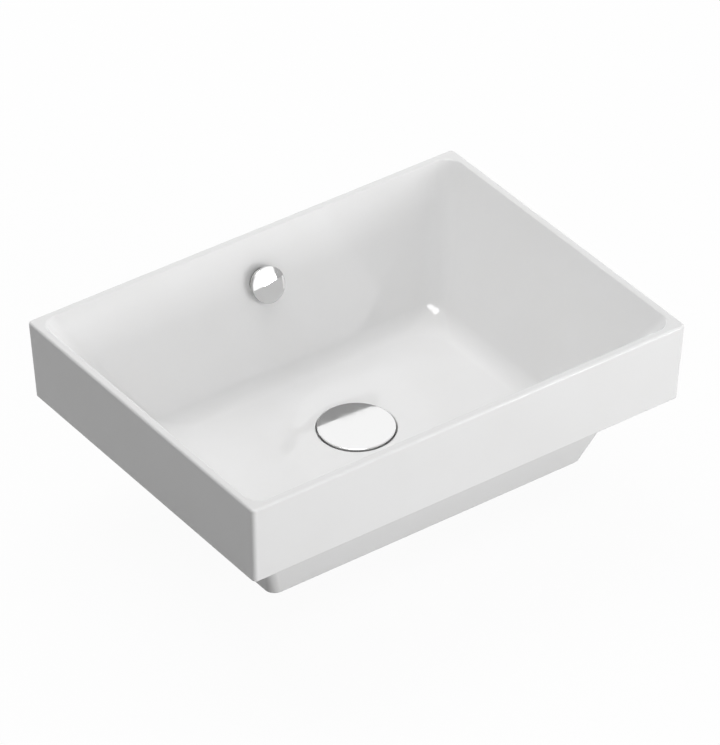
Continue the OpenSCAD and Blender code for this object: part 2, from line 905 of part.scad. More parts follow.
// Housing of the latch: a guide collar above a chamber with sloping ribs
module cartridge_housing() {
    guide_top_z = rotor_top_z + plug_lift;
    guide_foot_z = rotor_foot_z - plug_press;
    seal_z = housing_top_z - (collar_h - ring_seal_t) / 2;
    color("goldenrod") {
        rotate_extrude()
            polygon([
                [stem_r + slide_gap, housing_top_z],
                [housing_r - housing_t, housing_top_z],
                [housing_r, housing_top_z - housing_t],
                [housing_r, chamber_foot_z],
                [chamber_r, chamber_foot_z],
                [chamber_r, chamber_top_z],
                [stem_r + slide_gap, chamber_top_z],
                [stem_r + slide_gap, seal_z - ring_seal_t],
                [stem_r + ring_seal_t, seal_z - ring_seal_t],
                [stem_r + ring_seal_t, seal_z],
                [stem_r + slide_gap, seal_z]
            ]);
        for (k = [0:guide_count - 1])
            rotate([0, 0, 360 * k / guide_count + turn_per_mm * (guide_foot_z - rotor_foot_z)])
                translate([0, 0, guide_foot_z])
                    sloping_lug(guide_r, chamber_r + housing_t / 4, guide_angle,
                        guide_top_z - guide_foot_z);
    }
}

module cartridge_ring_seal() {
    seal_z = housing_top_z - (collar_h - ring_seal_t) / 2;
    mean_r = stem_r + (ring_seal_t + slide_gap) / 2;
    color("dimgray")
        translate([0, 0, seal_z - ring_seal_t / 2])
            rotate_extrude()
                translate([mean_r, 0])
                    circle((ring_seal_t - slide_gap) / 2, $fn = 24);
}

// Rotor of the latch: its sloping lugs run in the grooves between the ribs of the housing
module cartridge_rotor() {
    groove_angle = 360 / guide_count - guide_angle;
    lug_angle = groove_angle - 2 * air_gap / rotor_lug_r * 180 / PI;
    color("whitesmoke") {
        difference() {
            translate([0, 0, rotor_foot_z])
                cylinder(h = rotor_h, r = rotor_r);
            translate([0, 0, rotor_foot_z - over])
                cylinder(h = rotor_h + 2 * over, r = stem_nose_r + 2 * slide_gap);
            translate([0, 0, rotor_foot_z - over])
                cylinder(h = rotor_h - rotor_roof + over, r = spring_r + spring_wire / 2 + slide_gap);
        }
        for (k = [0:guide_count - 1])
            rotate([0, 0, 360 * (k + 1 / 2) / guide_count])
                translate([0, 0, rotor_foot_z])
                    sloping_lug(rotor_r - air_gap, rotor_lug_r, lug_angle, rotor_h);
    }
}

// Compression spring between the base and the rotor: one tube swept along a helix
module cartridge_spring() {
    sides = 6;
    per_turn = 12;
    coil_foot_z = base_top_z + spring_wire / 2;
    coil_top_z = rotor_top_z - rotor_roof - spring_wire / 2;
    steps = spring_turns * per_turn;
    rings = [
        for (k = [0:steps])
            let (a = 360 * k / per_turn, z = mix(coil_foot_z, coil_top_z, k / steps))
            [
                for (s = [0:sides - 1])
                    let (
                        b = 360 * s / sides,
                        r = spring_r + spring_wire / 2 * cos(b)
                    )
                    [r * cos(a), r * sin(a), z + spring_wire / 2 * sin(b)]
            ]
    ];
    color("slategray")
        loft([for (k = [steps:-1:0]) rings[k]]);
}

// Base of the cartridge: a plug in the housing and a stud through the spider
module cartridge_base() {
    color("goldenrod") {
        rotate_extrude()
            polygon([
                [0, base_top_z],
                [chamber_r - thread_gap, base_top_z],
                [chamber_r - thread_gap, chamber_foot_z],
                [housing_r, chamber_foot_z],
                [housing_r, hub_top_z],
                [base_stud_r, hub_top_z],
                [base_stud_r, base_nut_foot_z - thread_gap],
                [0, base_nut_foot_z - thread_gap]
            ]);
    }
}

module cartridge_base_nut() {
    color("goldenrod")
        translate([0, 0, hub_foot_z])
            mirror([0, 0, 1])
                hex_nut(base_nut_af, base_nut_h, base_stud_r + thread_gap);
}

basin_body();
overflow_cover();
overflow_stud();
overflow_sleeve();
overflow_washer();
waste_body();
flange_washer();
boss_seal();
slip_washer();
back_nut();
plug_cap();
plug_carrier();
plug_seal();
plug_stem();
stem_locknut();
cartridge_housing();
cartridge_ring_seal();
cartridge_rotor();
cartridge_spring();
cartridge_base();
cartridge_base_nut();
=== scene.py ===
"""Looks of a semi recessed washbasin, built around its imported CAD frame.

The glazed casting, the press-to-open waste, its plug and the overflow cover are modelled as smooth
meshes on the places that the CAD frame gives them. Sizes in the classes are millimetres in the
frame's own axes: +X along the width, +Y to the back, +Z up, and the origin on the axis of the
drain in the plane of the worktop.
"""

import json
import logging
import math
from dataclasses import dataclass, field
from enum import Enum
from typing import Any, Callable, Sequence

import bmesh
import bpy
import numpy as np
from mathutils import Matrix, Vector

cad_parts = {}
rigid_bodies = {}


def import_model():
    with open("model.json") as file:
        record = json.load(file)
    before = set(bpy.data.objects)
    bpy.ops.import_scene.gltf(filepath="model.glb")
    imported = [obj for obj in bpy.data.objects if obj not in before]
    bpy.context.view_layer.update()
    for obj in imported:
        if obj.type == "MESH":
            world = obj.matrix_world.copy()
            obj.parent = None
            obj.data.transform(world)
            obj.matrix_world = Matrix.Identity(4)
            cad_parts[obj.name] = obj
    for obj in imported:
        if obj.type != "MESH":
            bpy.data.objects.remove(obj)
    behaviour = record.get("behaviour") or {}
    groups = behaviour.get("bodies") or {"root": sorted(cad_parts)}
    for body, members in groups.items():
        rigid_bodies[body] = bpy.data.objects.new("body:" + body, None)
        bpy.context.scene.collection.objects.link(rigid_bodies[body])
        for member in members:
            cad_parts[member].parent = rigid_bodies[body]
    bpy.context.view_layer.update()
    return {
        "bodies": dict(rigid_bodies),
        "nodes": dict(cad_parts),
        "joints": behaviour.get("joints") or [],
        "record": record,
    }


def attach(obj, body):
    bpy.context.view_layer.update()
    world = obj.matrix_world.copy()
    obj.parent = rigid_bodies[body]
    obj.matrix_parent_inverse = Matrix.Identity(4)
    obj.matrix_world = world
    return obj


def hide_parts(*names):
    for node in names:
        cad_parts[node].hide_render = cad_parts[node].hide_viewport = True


LOG = logging.getLogger("basin")
MM = 0.001

Point = tuple[float, float]
Section = list[Point]


# Small helpers


def linear(hex_colour: str) -> tuple[float, float, float, float]:
    """Turns an sRGB hex value into a linear colour.

    Args:
        hex_colour: Six hex digits after a hash sign.

    Returns:
        Linear red, green, blue and an alpha of 1.
    """
    digits = hex_colour.lstrip("#")
    channels = [int(digits[i : i + 2], 16) / 255 for i in (0, 2, 4)]
    red, green, blue = (
        c / 12.92 if c <= 0.04045 else ((c + 0.055) / 1.055) ** 2.4 for c in channels
    )
    return (red, green, blue, 1.0)


def mix(a: float, b: float, share: float) -> float:
    """Returns the value that lies at a share of the way from a to b."""
    return a + (b - a) * share


def ease(share: float) -> float:
    """Returns a share eased in and out, so that a blend has no kink at its ends."""
    return share * share * (3 - 2 * share)


def quarter(steps: int, first: int = 0) -> list[float]:
    """Returns angles from 0 to a quarter turn in radians, from the step called first."""
    return [math.radians(90 * i / steps) for i in range(first, steps + 1)]


def direction(azimuth: float, elevation: float) -> Vector:
    """Returns the unit vector from the object towards a place in the studio.

    Args:
        azimuth: Degrees from the front, with the right side at 90.
        elevation: Degrees above the level of the worktop.

    Returns:
        The vector.
    """
    a, e = math.radians(azimuth), math.radians(elevation)
    return Vector((math.sin(a) * math.cos(e), -math.cos(a) * math.cos(e), math.sin(e)))


def add_node(
    tree: bpy.types.NodeTree,
    kind: str,
    values: dict[str | int, Any] | None = None,
    links: dict[str | int, bpy.types.NodeSocket] | None = None,
    **settings: Any,
) -> bpy.types.Node:
    """Adds one shader node with its settings, its fixed inputs and its links.

    Args:
        tree: The node tree that gets the node.
        kind: The node's type name.
        values: Values of inputs that nothing is linked to.
        links: Output sockets by the input that each of them feeds.
        **settings: Properties of the node itself.

    Returns:
        The new node.
    """
    node = tree.nodes.new(kind)
    for name, value in settings.items():
        setattr(node, name, value)
    for name, value in (values or {}).items():
        node.inputs[name].default_value = value
    for name, socket in (links or {}).items():
        tree.links.new(socket, node.inputs[name])
    return node


# Finishes


class Coat(Enum):
    """Names of the record's material slots, which every finish belongs to."""

    GLAZE = "glaze"
    CHROME = "chrome"
    BRASS = "brass"
    RUBBER = "rubber"
    WHITE_PLASTIC = "white_plastic"
    ACETAL = "acetal"
    SPRING_STEEL = "spring_steel"


@dataclass(frozen=True)
class Finish:
    """What every finish shares: its name, its colour and how it reflects."""

    title: str
    colour: str
    roughness: float
    metallic: float = 0.0
    ior: float = 1.5

    def build(self) -> bpy.types.Material:
        """Builds the material.

        Returns:
            A new material with a principled shader and this finish's own pattern.
        """
        material = bpy.data.materials.new(self.title)
        material.use_nodes = True
        tree = material.node_tree
        tree.nodes.clear()
        shader = add_node(
            tree,
            "ShaderNodeBsdfPrincipled",
            {
                "Base Color": linear(self.colour),
                "Metallic": self.metallic,
                "Roughness": self.roughness,
            },
        )
        if not self.metallic:
            shader.inputs["IOR"].default_value = self.ior
        add_node(
            tree,
            "ShaderNodeOutputMaterial",
            links={"Surface": shader.outputs["BSDF"]},
        )
        place = add_node(tree, "ShaderNodeTexCoord")
        self.pattern(tree, shader, place.outputs["Object"])
        return material

    def pattern(
        self,
        tree: bpy.types.NodeTree,
        shader: bpy.types.Node,
        place: bpy.types.NodeSocket,
    ) -> None:
        """Adds the surface detail of this finish.

        Args:
            tree: The material's node tree.
            shader: Its principled shader.
            place: Object coordinates in metres.
        """
        raise NotImplementedError

    def grain(
        self,
        tree: bpy.types.NodeTree,
        place: bpy.types.NodeSocket,
        size_mm: float,
        detail: float = 2.0,
    ) -> bpy.types.NodeSocket:
        """Adds a noise whose cells have a real size.

        Args:
            tree: The material's node tree.
            place: Object coordinates in metres.
            size_mm: Size of one cell in millimetres.
            detail: Octaves of finer noise in it.

        Returns:
            The noise, from 0 to 1.
        """
        noise = add_node(
            tree,
            "ShaderNodeTexNoise",
            {"Scale": 1 / (size_mm * MM), "Detail": detail, "Roughness": 0.5},
            {"Vector": place},
            noise_dimensions="3D",
        )
        return noise.outputs["Fac"]

    def spread(
        self,
        tree: bpy.types.NodeTree,
        source: bpy.types.NodeSocket,
        low: float,
        high: float,
    ) -> bpy.types.NodeSocket:
        """Maps a noise onto a range of values.

        Args:
            tree: The material's node tree.
            source: The noise, from 0 to 1.
            low: Value where the noise is at its lowest.
            high: Value where it is at its highest.

        Returns:
            The mapped value.
        """
        node = add_node(
            tree,
            "ShaderNodeMapRange",
            {"From Min": 0.3, "From Max": 0.7, "To Min": low, "To Max": high},
            {"Value": source},
        )
        return node.outputs["Result"]

    def relief(
        self,
        tree: bpy.types.NodeTree,
        shader: bpy.types.Node,
        height: bpy.types.NodeSocket,
        depth_mm: float,
    ) -> None:
        """Feeds a height into the shader's normal.

        Args:
            tree: The material's node tree.
            shader: The principled shader.
            height: The height, from 0 to 1.
            depth_mm: Depth of the relief in millimetres.
        """
        bump = add_node(
            tree,
            "ShaderNodeBump",
            {"Strength": 1.0, "Distance": depth_mm * MM},
            {"Height": height},
        )
        tree.links.new(bump.outputs["Normal"], shader.inputs["Normal"])

    def tint(
        self,
        tree: bpy.types.NodeTree,
        shader: bpy.types.Node,
        share: bpy.types.NodeSocket,
        other: str,
    ) -> None:
        """Blends the base colour towards another colour.

        Args:
            tree: The material's node tree.
            shader: The principled shader.
            share: How much of the other colour shows, from 0 to 1.
            other: The other colour as an sRGB hex value.
        """
        blend = add_node(
            tree,
            "ShaderNodeMix",
            {6: linear(self.colour), 7: linear(other)},
            {0: share},
            data_type="RGBA",
        )
        tree.links.new(blend.outputs[2], shader.inputs["Base Color"])


@dataclass(frozen=True)
class WhiteGlaze(Finish):
    """Vitreous china under a fired white glaze: a bright even body below a clear hard gloss."""

    bisque: str = "#CFC9BE"
    bisque_roughness: float = 0.75
    foot_z: float = -84.6
    foot_fade: float = 0.3
    pool_mm: float = 70.0
    pool_share: float = 0.05
    peel_mm: float = 9.0
    peel_depth_mm: float = 0.006

    def pattern(
        self,
        tree: bpy.types.NodeTree,
        shader: bpy.types.Node,
        place: bpy.types.NodeSocket,
    ) -> None:
        """Adds the slow waves of the poured glaze and the bare ring of the foot.

        Args:
            tree: The material's node tree.
            shader: Its principled shader.
            place: Object coordinates in metres.
        """
        # The glaze pools and thins over some centimetres, which shifts its white a little
        pools = self.spread(
            tree, self.grain(tree, place, self.pool_mm), 0.0, self.pool_share
        )
        # The foot is wiped clean of glaze before firing, so the dull bisque shows there
        split = add_node(tree, "ShaderNodeSeparateXYZ", links={"Vector": place})
        bare = add_node(
            tree,
            "ShaderNodeMapRange",
            {
                "From Min": self.foot_z * MM,
                "From Max": (self.foot_z - self.foot_fade) * MM,
                "To Min": 0.0,
                "To Max": 1.0,
            },
            {"Value": split.outputs["Z"]},
        ).outputs["Result"]
        share = add_node(
            tree,
            "ShaderNodeMath",
            links={0: pools, 1: bare},
            operation="MAXIMUM",
        ).outputs["Value"]
        self.tint(tree, shader, share, self.bisque)
        dull = add_node(
            tree,
            "ShaderNodeMapRange",
            {
                "From Min": 0.0,
                "From Max": 1.0,
                "To Min": self.roughness,
                "To Max": self.bisque_roughness,
            },
            {"Value": bare},
        ).outputs["Result"]
        tree.links.new(dull, shader.inputs["Roughness"])
        # Surface tension leaves a faint long wave that bends reflections very slightly
        self.relief(
            tree, shader, self.grain(tree, place, self.peel_mm, 0.0), self.peel_depth_mm
        )


@dataclass(frozen=True)
class PolishedChrome(Finish):
    """Polished chromium plate: a hard mirror with the faintest wiping haze."""

    haze_mm: float = 14.0
    haze_rise: float = 0.025

    def pattern(
        self,
        tree: bpy.types.NodeTree,
        shader: bpy.types.Node,
        place: bpy.types.NodeSocket,
    ) -> None:
        """Adds the haze of wiping, which only widens the gloss a little.

        Args:
            tree: The material's node tree.
            shader: Its principled shader.
            place: Object coordinates in metres.
        """
        haze = self.spread(
            tree,
            self.grain(tree, place, self.haze_mm, 3.0),
            self.roughness,
            self.roughness + self.haze_rise,
        )
        tree.links.new(haze, shader.inputs["Roughness"])


@dataclass(frozen=True)
class TurnedMetal(Finish):
    """Metal left as the lathe or the die left it: a soft gloss broken by shallow marks."""

    mark_mm: float = 2.2
    groove_mm: float = 0.01
    worn: str = "#8A6A34"
    worn_mm: float = 6.0
    worn_share: float = 0.35

    def pattern(
        self,
        tree: bpy.types.NodeTree,
        shader: bpy.types.Node,
        place: bpy.types.NodeSocket,
    ) -> None:
        """Adds the marks of the tool across the axis and a slight tarnish.

        Args:
            tree: The material's node tree.
            shader: Its principled shader.
            place: Object coordinates in metres.
        """
        # Real marks are nearer 0.15 mm apart: they are drawn this much coarser so that they show.
        # At a scale of 1 the bands of this texture lie 2 pi / 20 metres apart
        rings = add_node(
            tree,
            "ShaderNodeTexWave",
            {
                "Scale": 2 * math.pi / (20 * self.mark_mm * MM),
                "Distortion": 0.3,
                "Detail": 1.0,
            },
            {"Vector": place},
            wave_type="BANDS",
            bands_direction="Z",
        )
        self.relief(tree, shader, rings.outputs["Fac"], self.groove_mm)
        self.tint(
            tree,
            shader,
            self.spread(
                tree, self.grain(tree, place, self.worn_mm, 3.0), 0.0, self.worn_share
            ),
            self.worn,
        )


@dataclass(frozen=True)
class MouldedPolymer(Finish):
    """Rubber or plastic from a mould: a dull skin with an eroded grain."""

    grain_mm: float = 0.6
    grain_depth_mm: float = 0.02
    bloom: str = "#808080"
    bloom_mm: float = 12.0
    bloom_share: float = 0.08

    def pattern(
        self,
        tree: bpy.types.NodeTree,
        shader: bpy.types.Node,
        place: bpy.types.NodeSocket,
    ) -> None:
        """Adds the grain of the mould and a faint bloom on the skin.

        Args:
            tree: The material's node tree.
            shader: Its principled shader.
            place: Object coordinates in metres.
        """
        self.relief(
            tree,
            shader,
            self.grain(tree, place, self.grain_mm, 1.0),
            self.grain_depth_mm,
        )
        self.tint(
            tree,
            shader,
            self.spread(
                tree, self.grain(tree, place, self.bloom_mm, 3.0), 0.0, self.bloom_share
            ),
            self.bloom,
        )


FINISHES: dict[Coat, Finish] = {
    # Fired on as glass over a white body: bright and even, with sharp reflections
    Coat.GLAZE: WhiteGlaze("white glaze on vitreous china", "#F5F5F5", 0.02, ior=1.52),
    # Plated over polished brass: a neutral mirror, a little darker than what it shows
    Coat.CHROME: PolishedChrome(
        "polished chrome plate", "#D1D1D1", 0.015, metallic=1.0
    ),
    # Turned from bar and left bare: warm yellow, with highlights drawn out round the axis
    Coat.BRASS: TurnedMetal("turned brass", "#C9A45C", 0.28, metallic=1.0),
    # Pressed in a matt mould: nearly black, with one broad dull highlight
    Coat.RUBBER: MouldedPolymer("moulded black rubber", "#262626", 0.62, ior=1.52),
    # Injected into a fine grained mould: an even off-white skin with a soft gloss
    Coat.WHITE_PLASTIC: MouldedPolymer(
        "moulded white ABS",
        "#E4E4E1",
        0.32,
        ior=1.53,
        grain_mm=1.2,
        grain_depth_mm=0.008,
        bloom="#C8C8C2",
    ),
    # Injected without pigment: milky and waxy, a little duller than the ABS
    Coat.ACETAL: MouldedPolymer(
        "natural acetal",
        "#D6D5CE",
        0.42,
        ior=1.48,
        grain_mm=0.8,
        grain_depth_mm=0.01,
        bloom="#B9B8AF",
    ),
    # Drawn cold through a die: grey, with a soft stretched gloss
    Coat.SPRING_STEEL: TurnedMetal(
        "drawn spring steel", "#A6A8AB", 0.25, metallic=1.0, worn="#77797C"
    ),
}


@dataclass
class FinishShelf:
    """Builds each finish once and hands it out."""

    built: dict[Coat, bpy.types.Material] = field(default_factory=dict)

    def take(self, coat: Coat) -> bpy.types.Material:
        """Hands out the material of a coat, built the first time that it is asked for.

        Args:
            coat: The coat that is wanted.

        Returns:
            The material.
        """
        if coat not in self.built:
            self.built[coat] = FINISHES[coat].build()
        return self.built[coat]

    def dress(self, obj: bpy.types.Object, coat: Coat) -> None:
        """Gives an object one coat in all of its slots."""
        obj.data.materials.clear()
        obj.data.materials.append(self.take(coat))


# Meshes


def mesh_object(
    name: str, points_mm: Sequence[Sequence[float]], faces: Sequence[Sequence[int]]
) -> bpy.types.Object:
    """Makes an object from points in millimetres.

    Args:
        name: Name of the object.
        points_mm: The points.
        faces: Corner numbers of each face.

    Returns:
        The object, with its normals facing outwards.
    """
    mesh = bpy.data.meshes.new(name)
    mesh.from_pydata([tuple(c * MM for c in p) for p in points_mm], [], list(faces))
    work = bmesh.new()
    work.from_mesh(mesh)
    bmesh.ops.recalc_face_normals(work, faces=work.faces)
    work.to_mesh(mesh)
    work.free()
    obj = bpy.data.objects.new(name, mesh)
    bpy.context.scene.collection.objects.link(obj)
    return obj


def loft(
    name: str, rings: Sequence[Sequence[Sequence[float]]], closed: bool = False
) -> bpy.types.Object:
    """Makes a solid through rings of equal length.

    Args:
        name: Name of the object.
        rings: The rings, in millimetres.
        closed: True if the last ring joins the first, False for flat caps.

    Returns:
        The object.
    """
    n = len(rings[0])
    points = [p for ring in rings for p in ring]
    spans = len(rings) if closed else len(rings) - 1
    faces = []
    for k in range(spans):
        a, b = k * n, ((k + 1) % len(rings)) * n
        for i in range(n):
            j = (i + 1) % n
            faces.append((a + i, a + j, b + j, b + i))
    if not closed:
        faces.append(tuple(range(n - 1, -1, -1)))
        faces.append(tuple((len(rings) - 1) * n + i for i in range(n)))
    return mesh_object(name, points, faces)


def turned(name: str, outline: Section, steps: int = 160) -> bpy.types.Object:
    """Makes a solid of revolution about the Z axis.

    Args:
        name: Name of the object.
        outline: Radius and height of each corner of the half section, in order. Two corners on
            the axis close the solid, and an outline clear of the axis closes on itself.
        steps: Facets of a full circle.

    Returns:
        The object.
    """
    closed = all(r > 0 for r, _ in outline)
    points: list[tuple[float, float, float]] = []
    rows: list[list[int]] = []
    for r, z in outline:
        if r <= 0:
            rows.append([len(points)] * steps)
            points.append((0.0, 0.0, z))
            continue
        start = len(points)
        for i in range(steps):
            a = 2 * math.pi * i / steps
            points.append((r * math.cos(a), r * math.sin(a), z))
        rows.append(list(range(start, start + steps)))
    faces = []
    spans = len(rows) if closed else len(rows) - 1
    for k in range(spans):
        low, high = rows[k], rows[(k + 1) % len(rows)]
        for i in range(steps):
            j = (i + 1) % steps
            face = dict.fromkeys((low[i], low[j], high[j], high[i]))
            if len(face) > 2:
                faces.append(tuple(face))
    return mesh_object(name, points, faces)


def arc(
    centre: Point, radius: float, start: float, end: float, steps: int = 8
) -> Section:
    """Returns points along an arc of a half section.

    Args:
        centre: Radius and height of the centre of the arc.
        radius: Radius of the arc.
        start: First angle in degrees, counted from the outward direction.
        end: Last angle in degrees.
        steps: Facets of the arc.

    Returns:
        The points, from start to end.
    """
    r0, z0 = centre
    return [
        (
            r0 + radius * math.cos(math.radians(mix(start, end, i / steps))),
            z0 + radius * math.sin(math.radians(mix(start, end, i / steps))),
        )
        for i in range(steps + 1)
    ]


class Cut(Enum):
    """How a tool changes the solid that it meets."""

    AWAY = "DIFFERENCE"
    JOIN = "UNION"


def carve(
    obj: bpy.types.Object, tools: Sequence[bpy.types.Object], how: Cut = Cut.AWAY
) -> None:
    """Cuts tools away from an object, or joins them to it, and deletes the tools.

    Args:
        obj: The object that is changed.
        tools: Closed solids.
        how: Whether the tools are cut away or joined.
    """
    for tool in tools:
        modifier = obj.modifiers.new("carve", "BOOLEAN")
        modifier.operation = how.value
        modifier.solver = "MANIFOLD"
        modifier.object = tool
        graph = bpy.context.evaluated_depsgraph_get()
        made = bpy.data.meshes.new_from_object(obj.evaluated_get(graph))
        obj.modifiers.clear()
        old, obj.data = obj.data, made
        bpy.data.meshes.remove(old)
        bpy.data.objects.remove(tool)


def smooth(obj: bpy.types.Object, crease_deg: float = 32.0) -> None:
    """Shades an object smooth, with creases where faces meet at a steep angle.

    Args:
        obj: The object.
        crease_deg: Angle from which an edge stays sharp, in degrees.
    """
    obj.data.polygons.foreach_set("use_smooth", [True] * len(obj.data.polygons))
    obj.data.set_sharp_from_angle(angle=math.radians(crease_deg))
    weights = obj.modifiers.new("flat faces lead", "WEIGHTED_NORMAL")
    weights.keep_sharp = True
    weights.weight = 80


def move_mesh(obj: bpy.types.Object, matrix: Matrix) -> None:
    """Moves an object's mesh, so that the object itself stays at the origin."""
    obj.data.transform(matrix)


# The casting


@dataclass
class Casting:
    """The one-piece ceramic casting, with flatter bowl walls and a crisper lip than the solid's."""

    # Rim box
    rim_w: float = 500.0
    rim_d: float = 370.0
    rim_h: float = 85.0
    land: float = 7.0
    edge_r: float = 2.5
    rim_foot_r: float = 1.0
    corner_r: float = 4.5
    draft: float = 2.5
    # Tray below the worktop
    tray_w: float = 427.0
    tray_d: float = 297.0
    tray_h: float = 85.0
    taper: float = 20.0
    tray_corner_r: float = 10.5
    tray_edge_r: float = 3.0
    tray_root_r: float = 1.5
    # Bowl
    bowl_depth: float = 121.8
    floor_fall: float = 2.0
    wall_slope: float = 31.5
    shoulder_r: float = 1.8
    floor_r: float = 25.0
    lip_corner_r: float = 18.0
    wall_corner_r: float = 18.0
    floor_corner_r: float = 36.0
    # Drain recess and hole
    recess_r: float = 39.2
    recess_depth: float = 7.2
    recess_edge_r: float = 1.2
    recess_foot_r: float = 3.0
    dish_margin: float = 0.5
    hole_r: float = 23.0
    gallery_r: float = 28.0
    # Hollow of the underside
    skin_t: float = 13.0
    floor_t: float = 16.0
    boss_r: float = 40.0
    pocket_draft: float = 3.0
    pocket_corner_r: float = 14.0
    pocket_mouth_r: float = 2.5
    pocket_roof_r: float = 6.0
    pocket_blend: float = 9.0
    pocket_step: float = 3.0
    boss_step: float = 2.5
    # Overflow hole, channel and rib
    overflow_drop: float = 40.8
    overflow_inset: float = 32.6
    channel_slope: float = 21.5
    overflow_hole_r: float = 13.0
    overflow_lip_r: float = 1.2
    channel_w: float = 36.0
    channel_d: float = 9.0
    channel_h: float = 12.0
    channel_skin: float = 9.0
    channel_cover: float = 7.0
    rib_edge_r: float = 6.0
    rib_root_r: float = 4.0
    gallery_share: float = 0.75
    # Facets
    corner_steps: int = 20
    side_steps: int = 12
    front_steps: int = 16
    rib_steps: int = 5
    dish_steps: int = 24
    fillet_steps: int = 36
    wall_steps: int = 12
    shoulder_steps: int = 16
    back_shares: tuple[float, ...] = (0.82, 0.62, 0.42, 0.25)
    # How far a tool reaches past what it cuts
    overrun: float = 1.0
    hole_overrun: float = 3.0

    def __post_init__(self) -> None:
        """Works out the levels and insets that follow from the sizes."""
        self.floor_z = self.rim_h - self.bowl_depth
        self.floor_edge_z = self.floor_z + self.floor_fall
        self.seat_z = self.floor_z - self.recess_depth
        self.roof_z = self.floor_z - self.floor_t
        self.turn = 90 - self.wall_slope
        slope = math.tan(math.radians(self.wall_slope))
        half_turn = math.tan(math.radians(self.turn / 2))
        self.brow_inset = self.land + self.shoulder_r * half_turn
        heel = self.brow_inset + (self.rim_h - self.floor_edge_z) * slope
        self.floor_inset = heel + self.floor_r * half_turn
        self.mouth_r = self.recess_r + self.recess_edge_r
        self.dish_end_r = self.mouth_r + self.dish_margin
        self.overflow_z = self.rim_h - self.overflow_drop
        self.overflow_y = self.rim_d / 2 - self.overflow_inset
        self.channel_back = self.channel_skin + self.channel_d
        self.rib_back = self.channel_back + self.channel_cover
        self.rib_half = self.channel_w / 2 + self.channel_cover
        self.gallery_mid_z = (self.roof_z - self.tray_h) / 2

    # Points round one ring

    def back_line(self, straight: float, y: float, rise: float | None) -> Section:
        """Returns the points along the back of a ring, from its right to its left.

        Args:
            straight: Half length of the straight part.
            y: Where the straight part lies.
            rise: How far the channel rib stands out of it, or None where there is no rib.

        Returns:
            The points between the two back corners.
        """
        root, edge, half = self.rib_root_r, self.rib_edge_r, self.rib_half
        fade = min(1.0, max(rise or 0.0, 0.0) / (root + edge))
        outer = [(straight * share, y) for share in self.back_shares]
        if rise is None:
            # As many points as the rib has, at the same share of this ring's width
            count = 2 * (self.rib_steps + 1)
            span = (half + root) * straight / (self.tray_w / 2 - self.tray_corner_r)
            right = outer + [(span * (1 - i / count), y) for i in range(count)]
        else:
            right = outer + [
                (half + root - root * math.sin(a), y + fade * root * (1 - math.cos(a)))
                for a in quarter(self.rib_steps)
            ]
            right += [
                (
                    half - edge + edge * math.cos(a),
                    y + rise - fade * edge * (1 - math.sin(a)),
                )
                for a in quarter(self.rib_steps)
            ]
        middle = (0.0, right[-1][1])
        return right + [middle] + [(-x, v) for x, v in reversed(right)]

    def ring(
        self, half_w: float, half_d: float, r: float, z: float, rise: float | None = None
    ) -> np.ndarray:
        """Returns a rounded rectangle as a closed ring of points.

        Args:
            half_w: Half of its width.
            half_d: Half of its depth.
            r: Radius of its corners.
            z: Its height.
            rise: How far the channel rib stands out at its back, or None.

        Returns:
            The points, counterclockwise from the middle of the right side's upper end.
        """
        straight_x, straight_y = half_w - r, half_d - r
        points: Section = []
        for corner in range(4):
            cx = straight_x if corner in (0, 3) else -straight_x
            cy = straight_y if corner < 2 else -straight_y
            for i in range(self.corner_steps + 1):
                a = math.radians(90 * (corner + i / self.corner_steps))
                points.append((cx + r * math.cos(a), cy + r * math.sin(a)))
            side = [1 - 2 * i / self.side_steps for i in range(1, self.side_steps)]
            if corner == 0:
                points += self.back_line(straight_x, half_d, rise)
            elif corner == 1:
                points += [(-half_w, straight_y * share) for share in side]
            elif corner == 2:
                front = [1 - 2 * i / self.front_steps for i in range(1, self.front_steps)]
                points += [(-straight_x * share, -half_d) for share in front]
            else:
                points += [(half_w, -straight_y * share) for share in side]
        return np.array([(x, y, z) for x, y in points])

    def circle(self, r: float, z: float) -> np.ndarray:
        """Returns a circle with as many points as a ring, spread to meet the floor's ring.

        Args:
            r: Its radius.
            z: Its height.

        Returns:
            The points, half way between even angles and those of the floor's ring.
        """
        floor = self.ring(
            self.rim_w / 2 - self.floor_inset,
            self.rim_d / 2 - self.floor_inset,
            self.floor_corner_r,
            z,
        )
        seen = np.unwrap(np.arctan2(floor[:, 1], floor[:, 0]))
        even = seen[0] + 2 * math.pi * np.arange(len(seen)) / len(seen)
        angle = 0.5 * seen + 0.5 * even
        return np.stack([r * np.cos(angle), r * np.sin(angle), np.full(len(angle), z)], 1)

    # The stack of rings, from the drain up the bowl, over the rim and down to the foot

    def drain_rings(self) -> list[np.ndarray]:
        """Makes the rings of the seat and the recess, from the hole outwards.

        Returns:
            The rings.
        """
        foot_r, edge_r = self.recess_foot_r, self.recess_edge_r
        foot = (self.recess_r - foot_r, self.seat_z + foot_r)
        edge = (self.mouth_r, self.floor_z - edge_r)
        section = [
            (self.hole_r, self.seat_z),
            *arc(foot, foot_r, -90, 0, 8),
            *arc(edge, edge_r, 180, 90, 10),
        ]
        return [self.circle(r, z) for r, z in section]

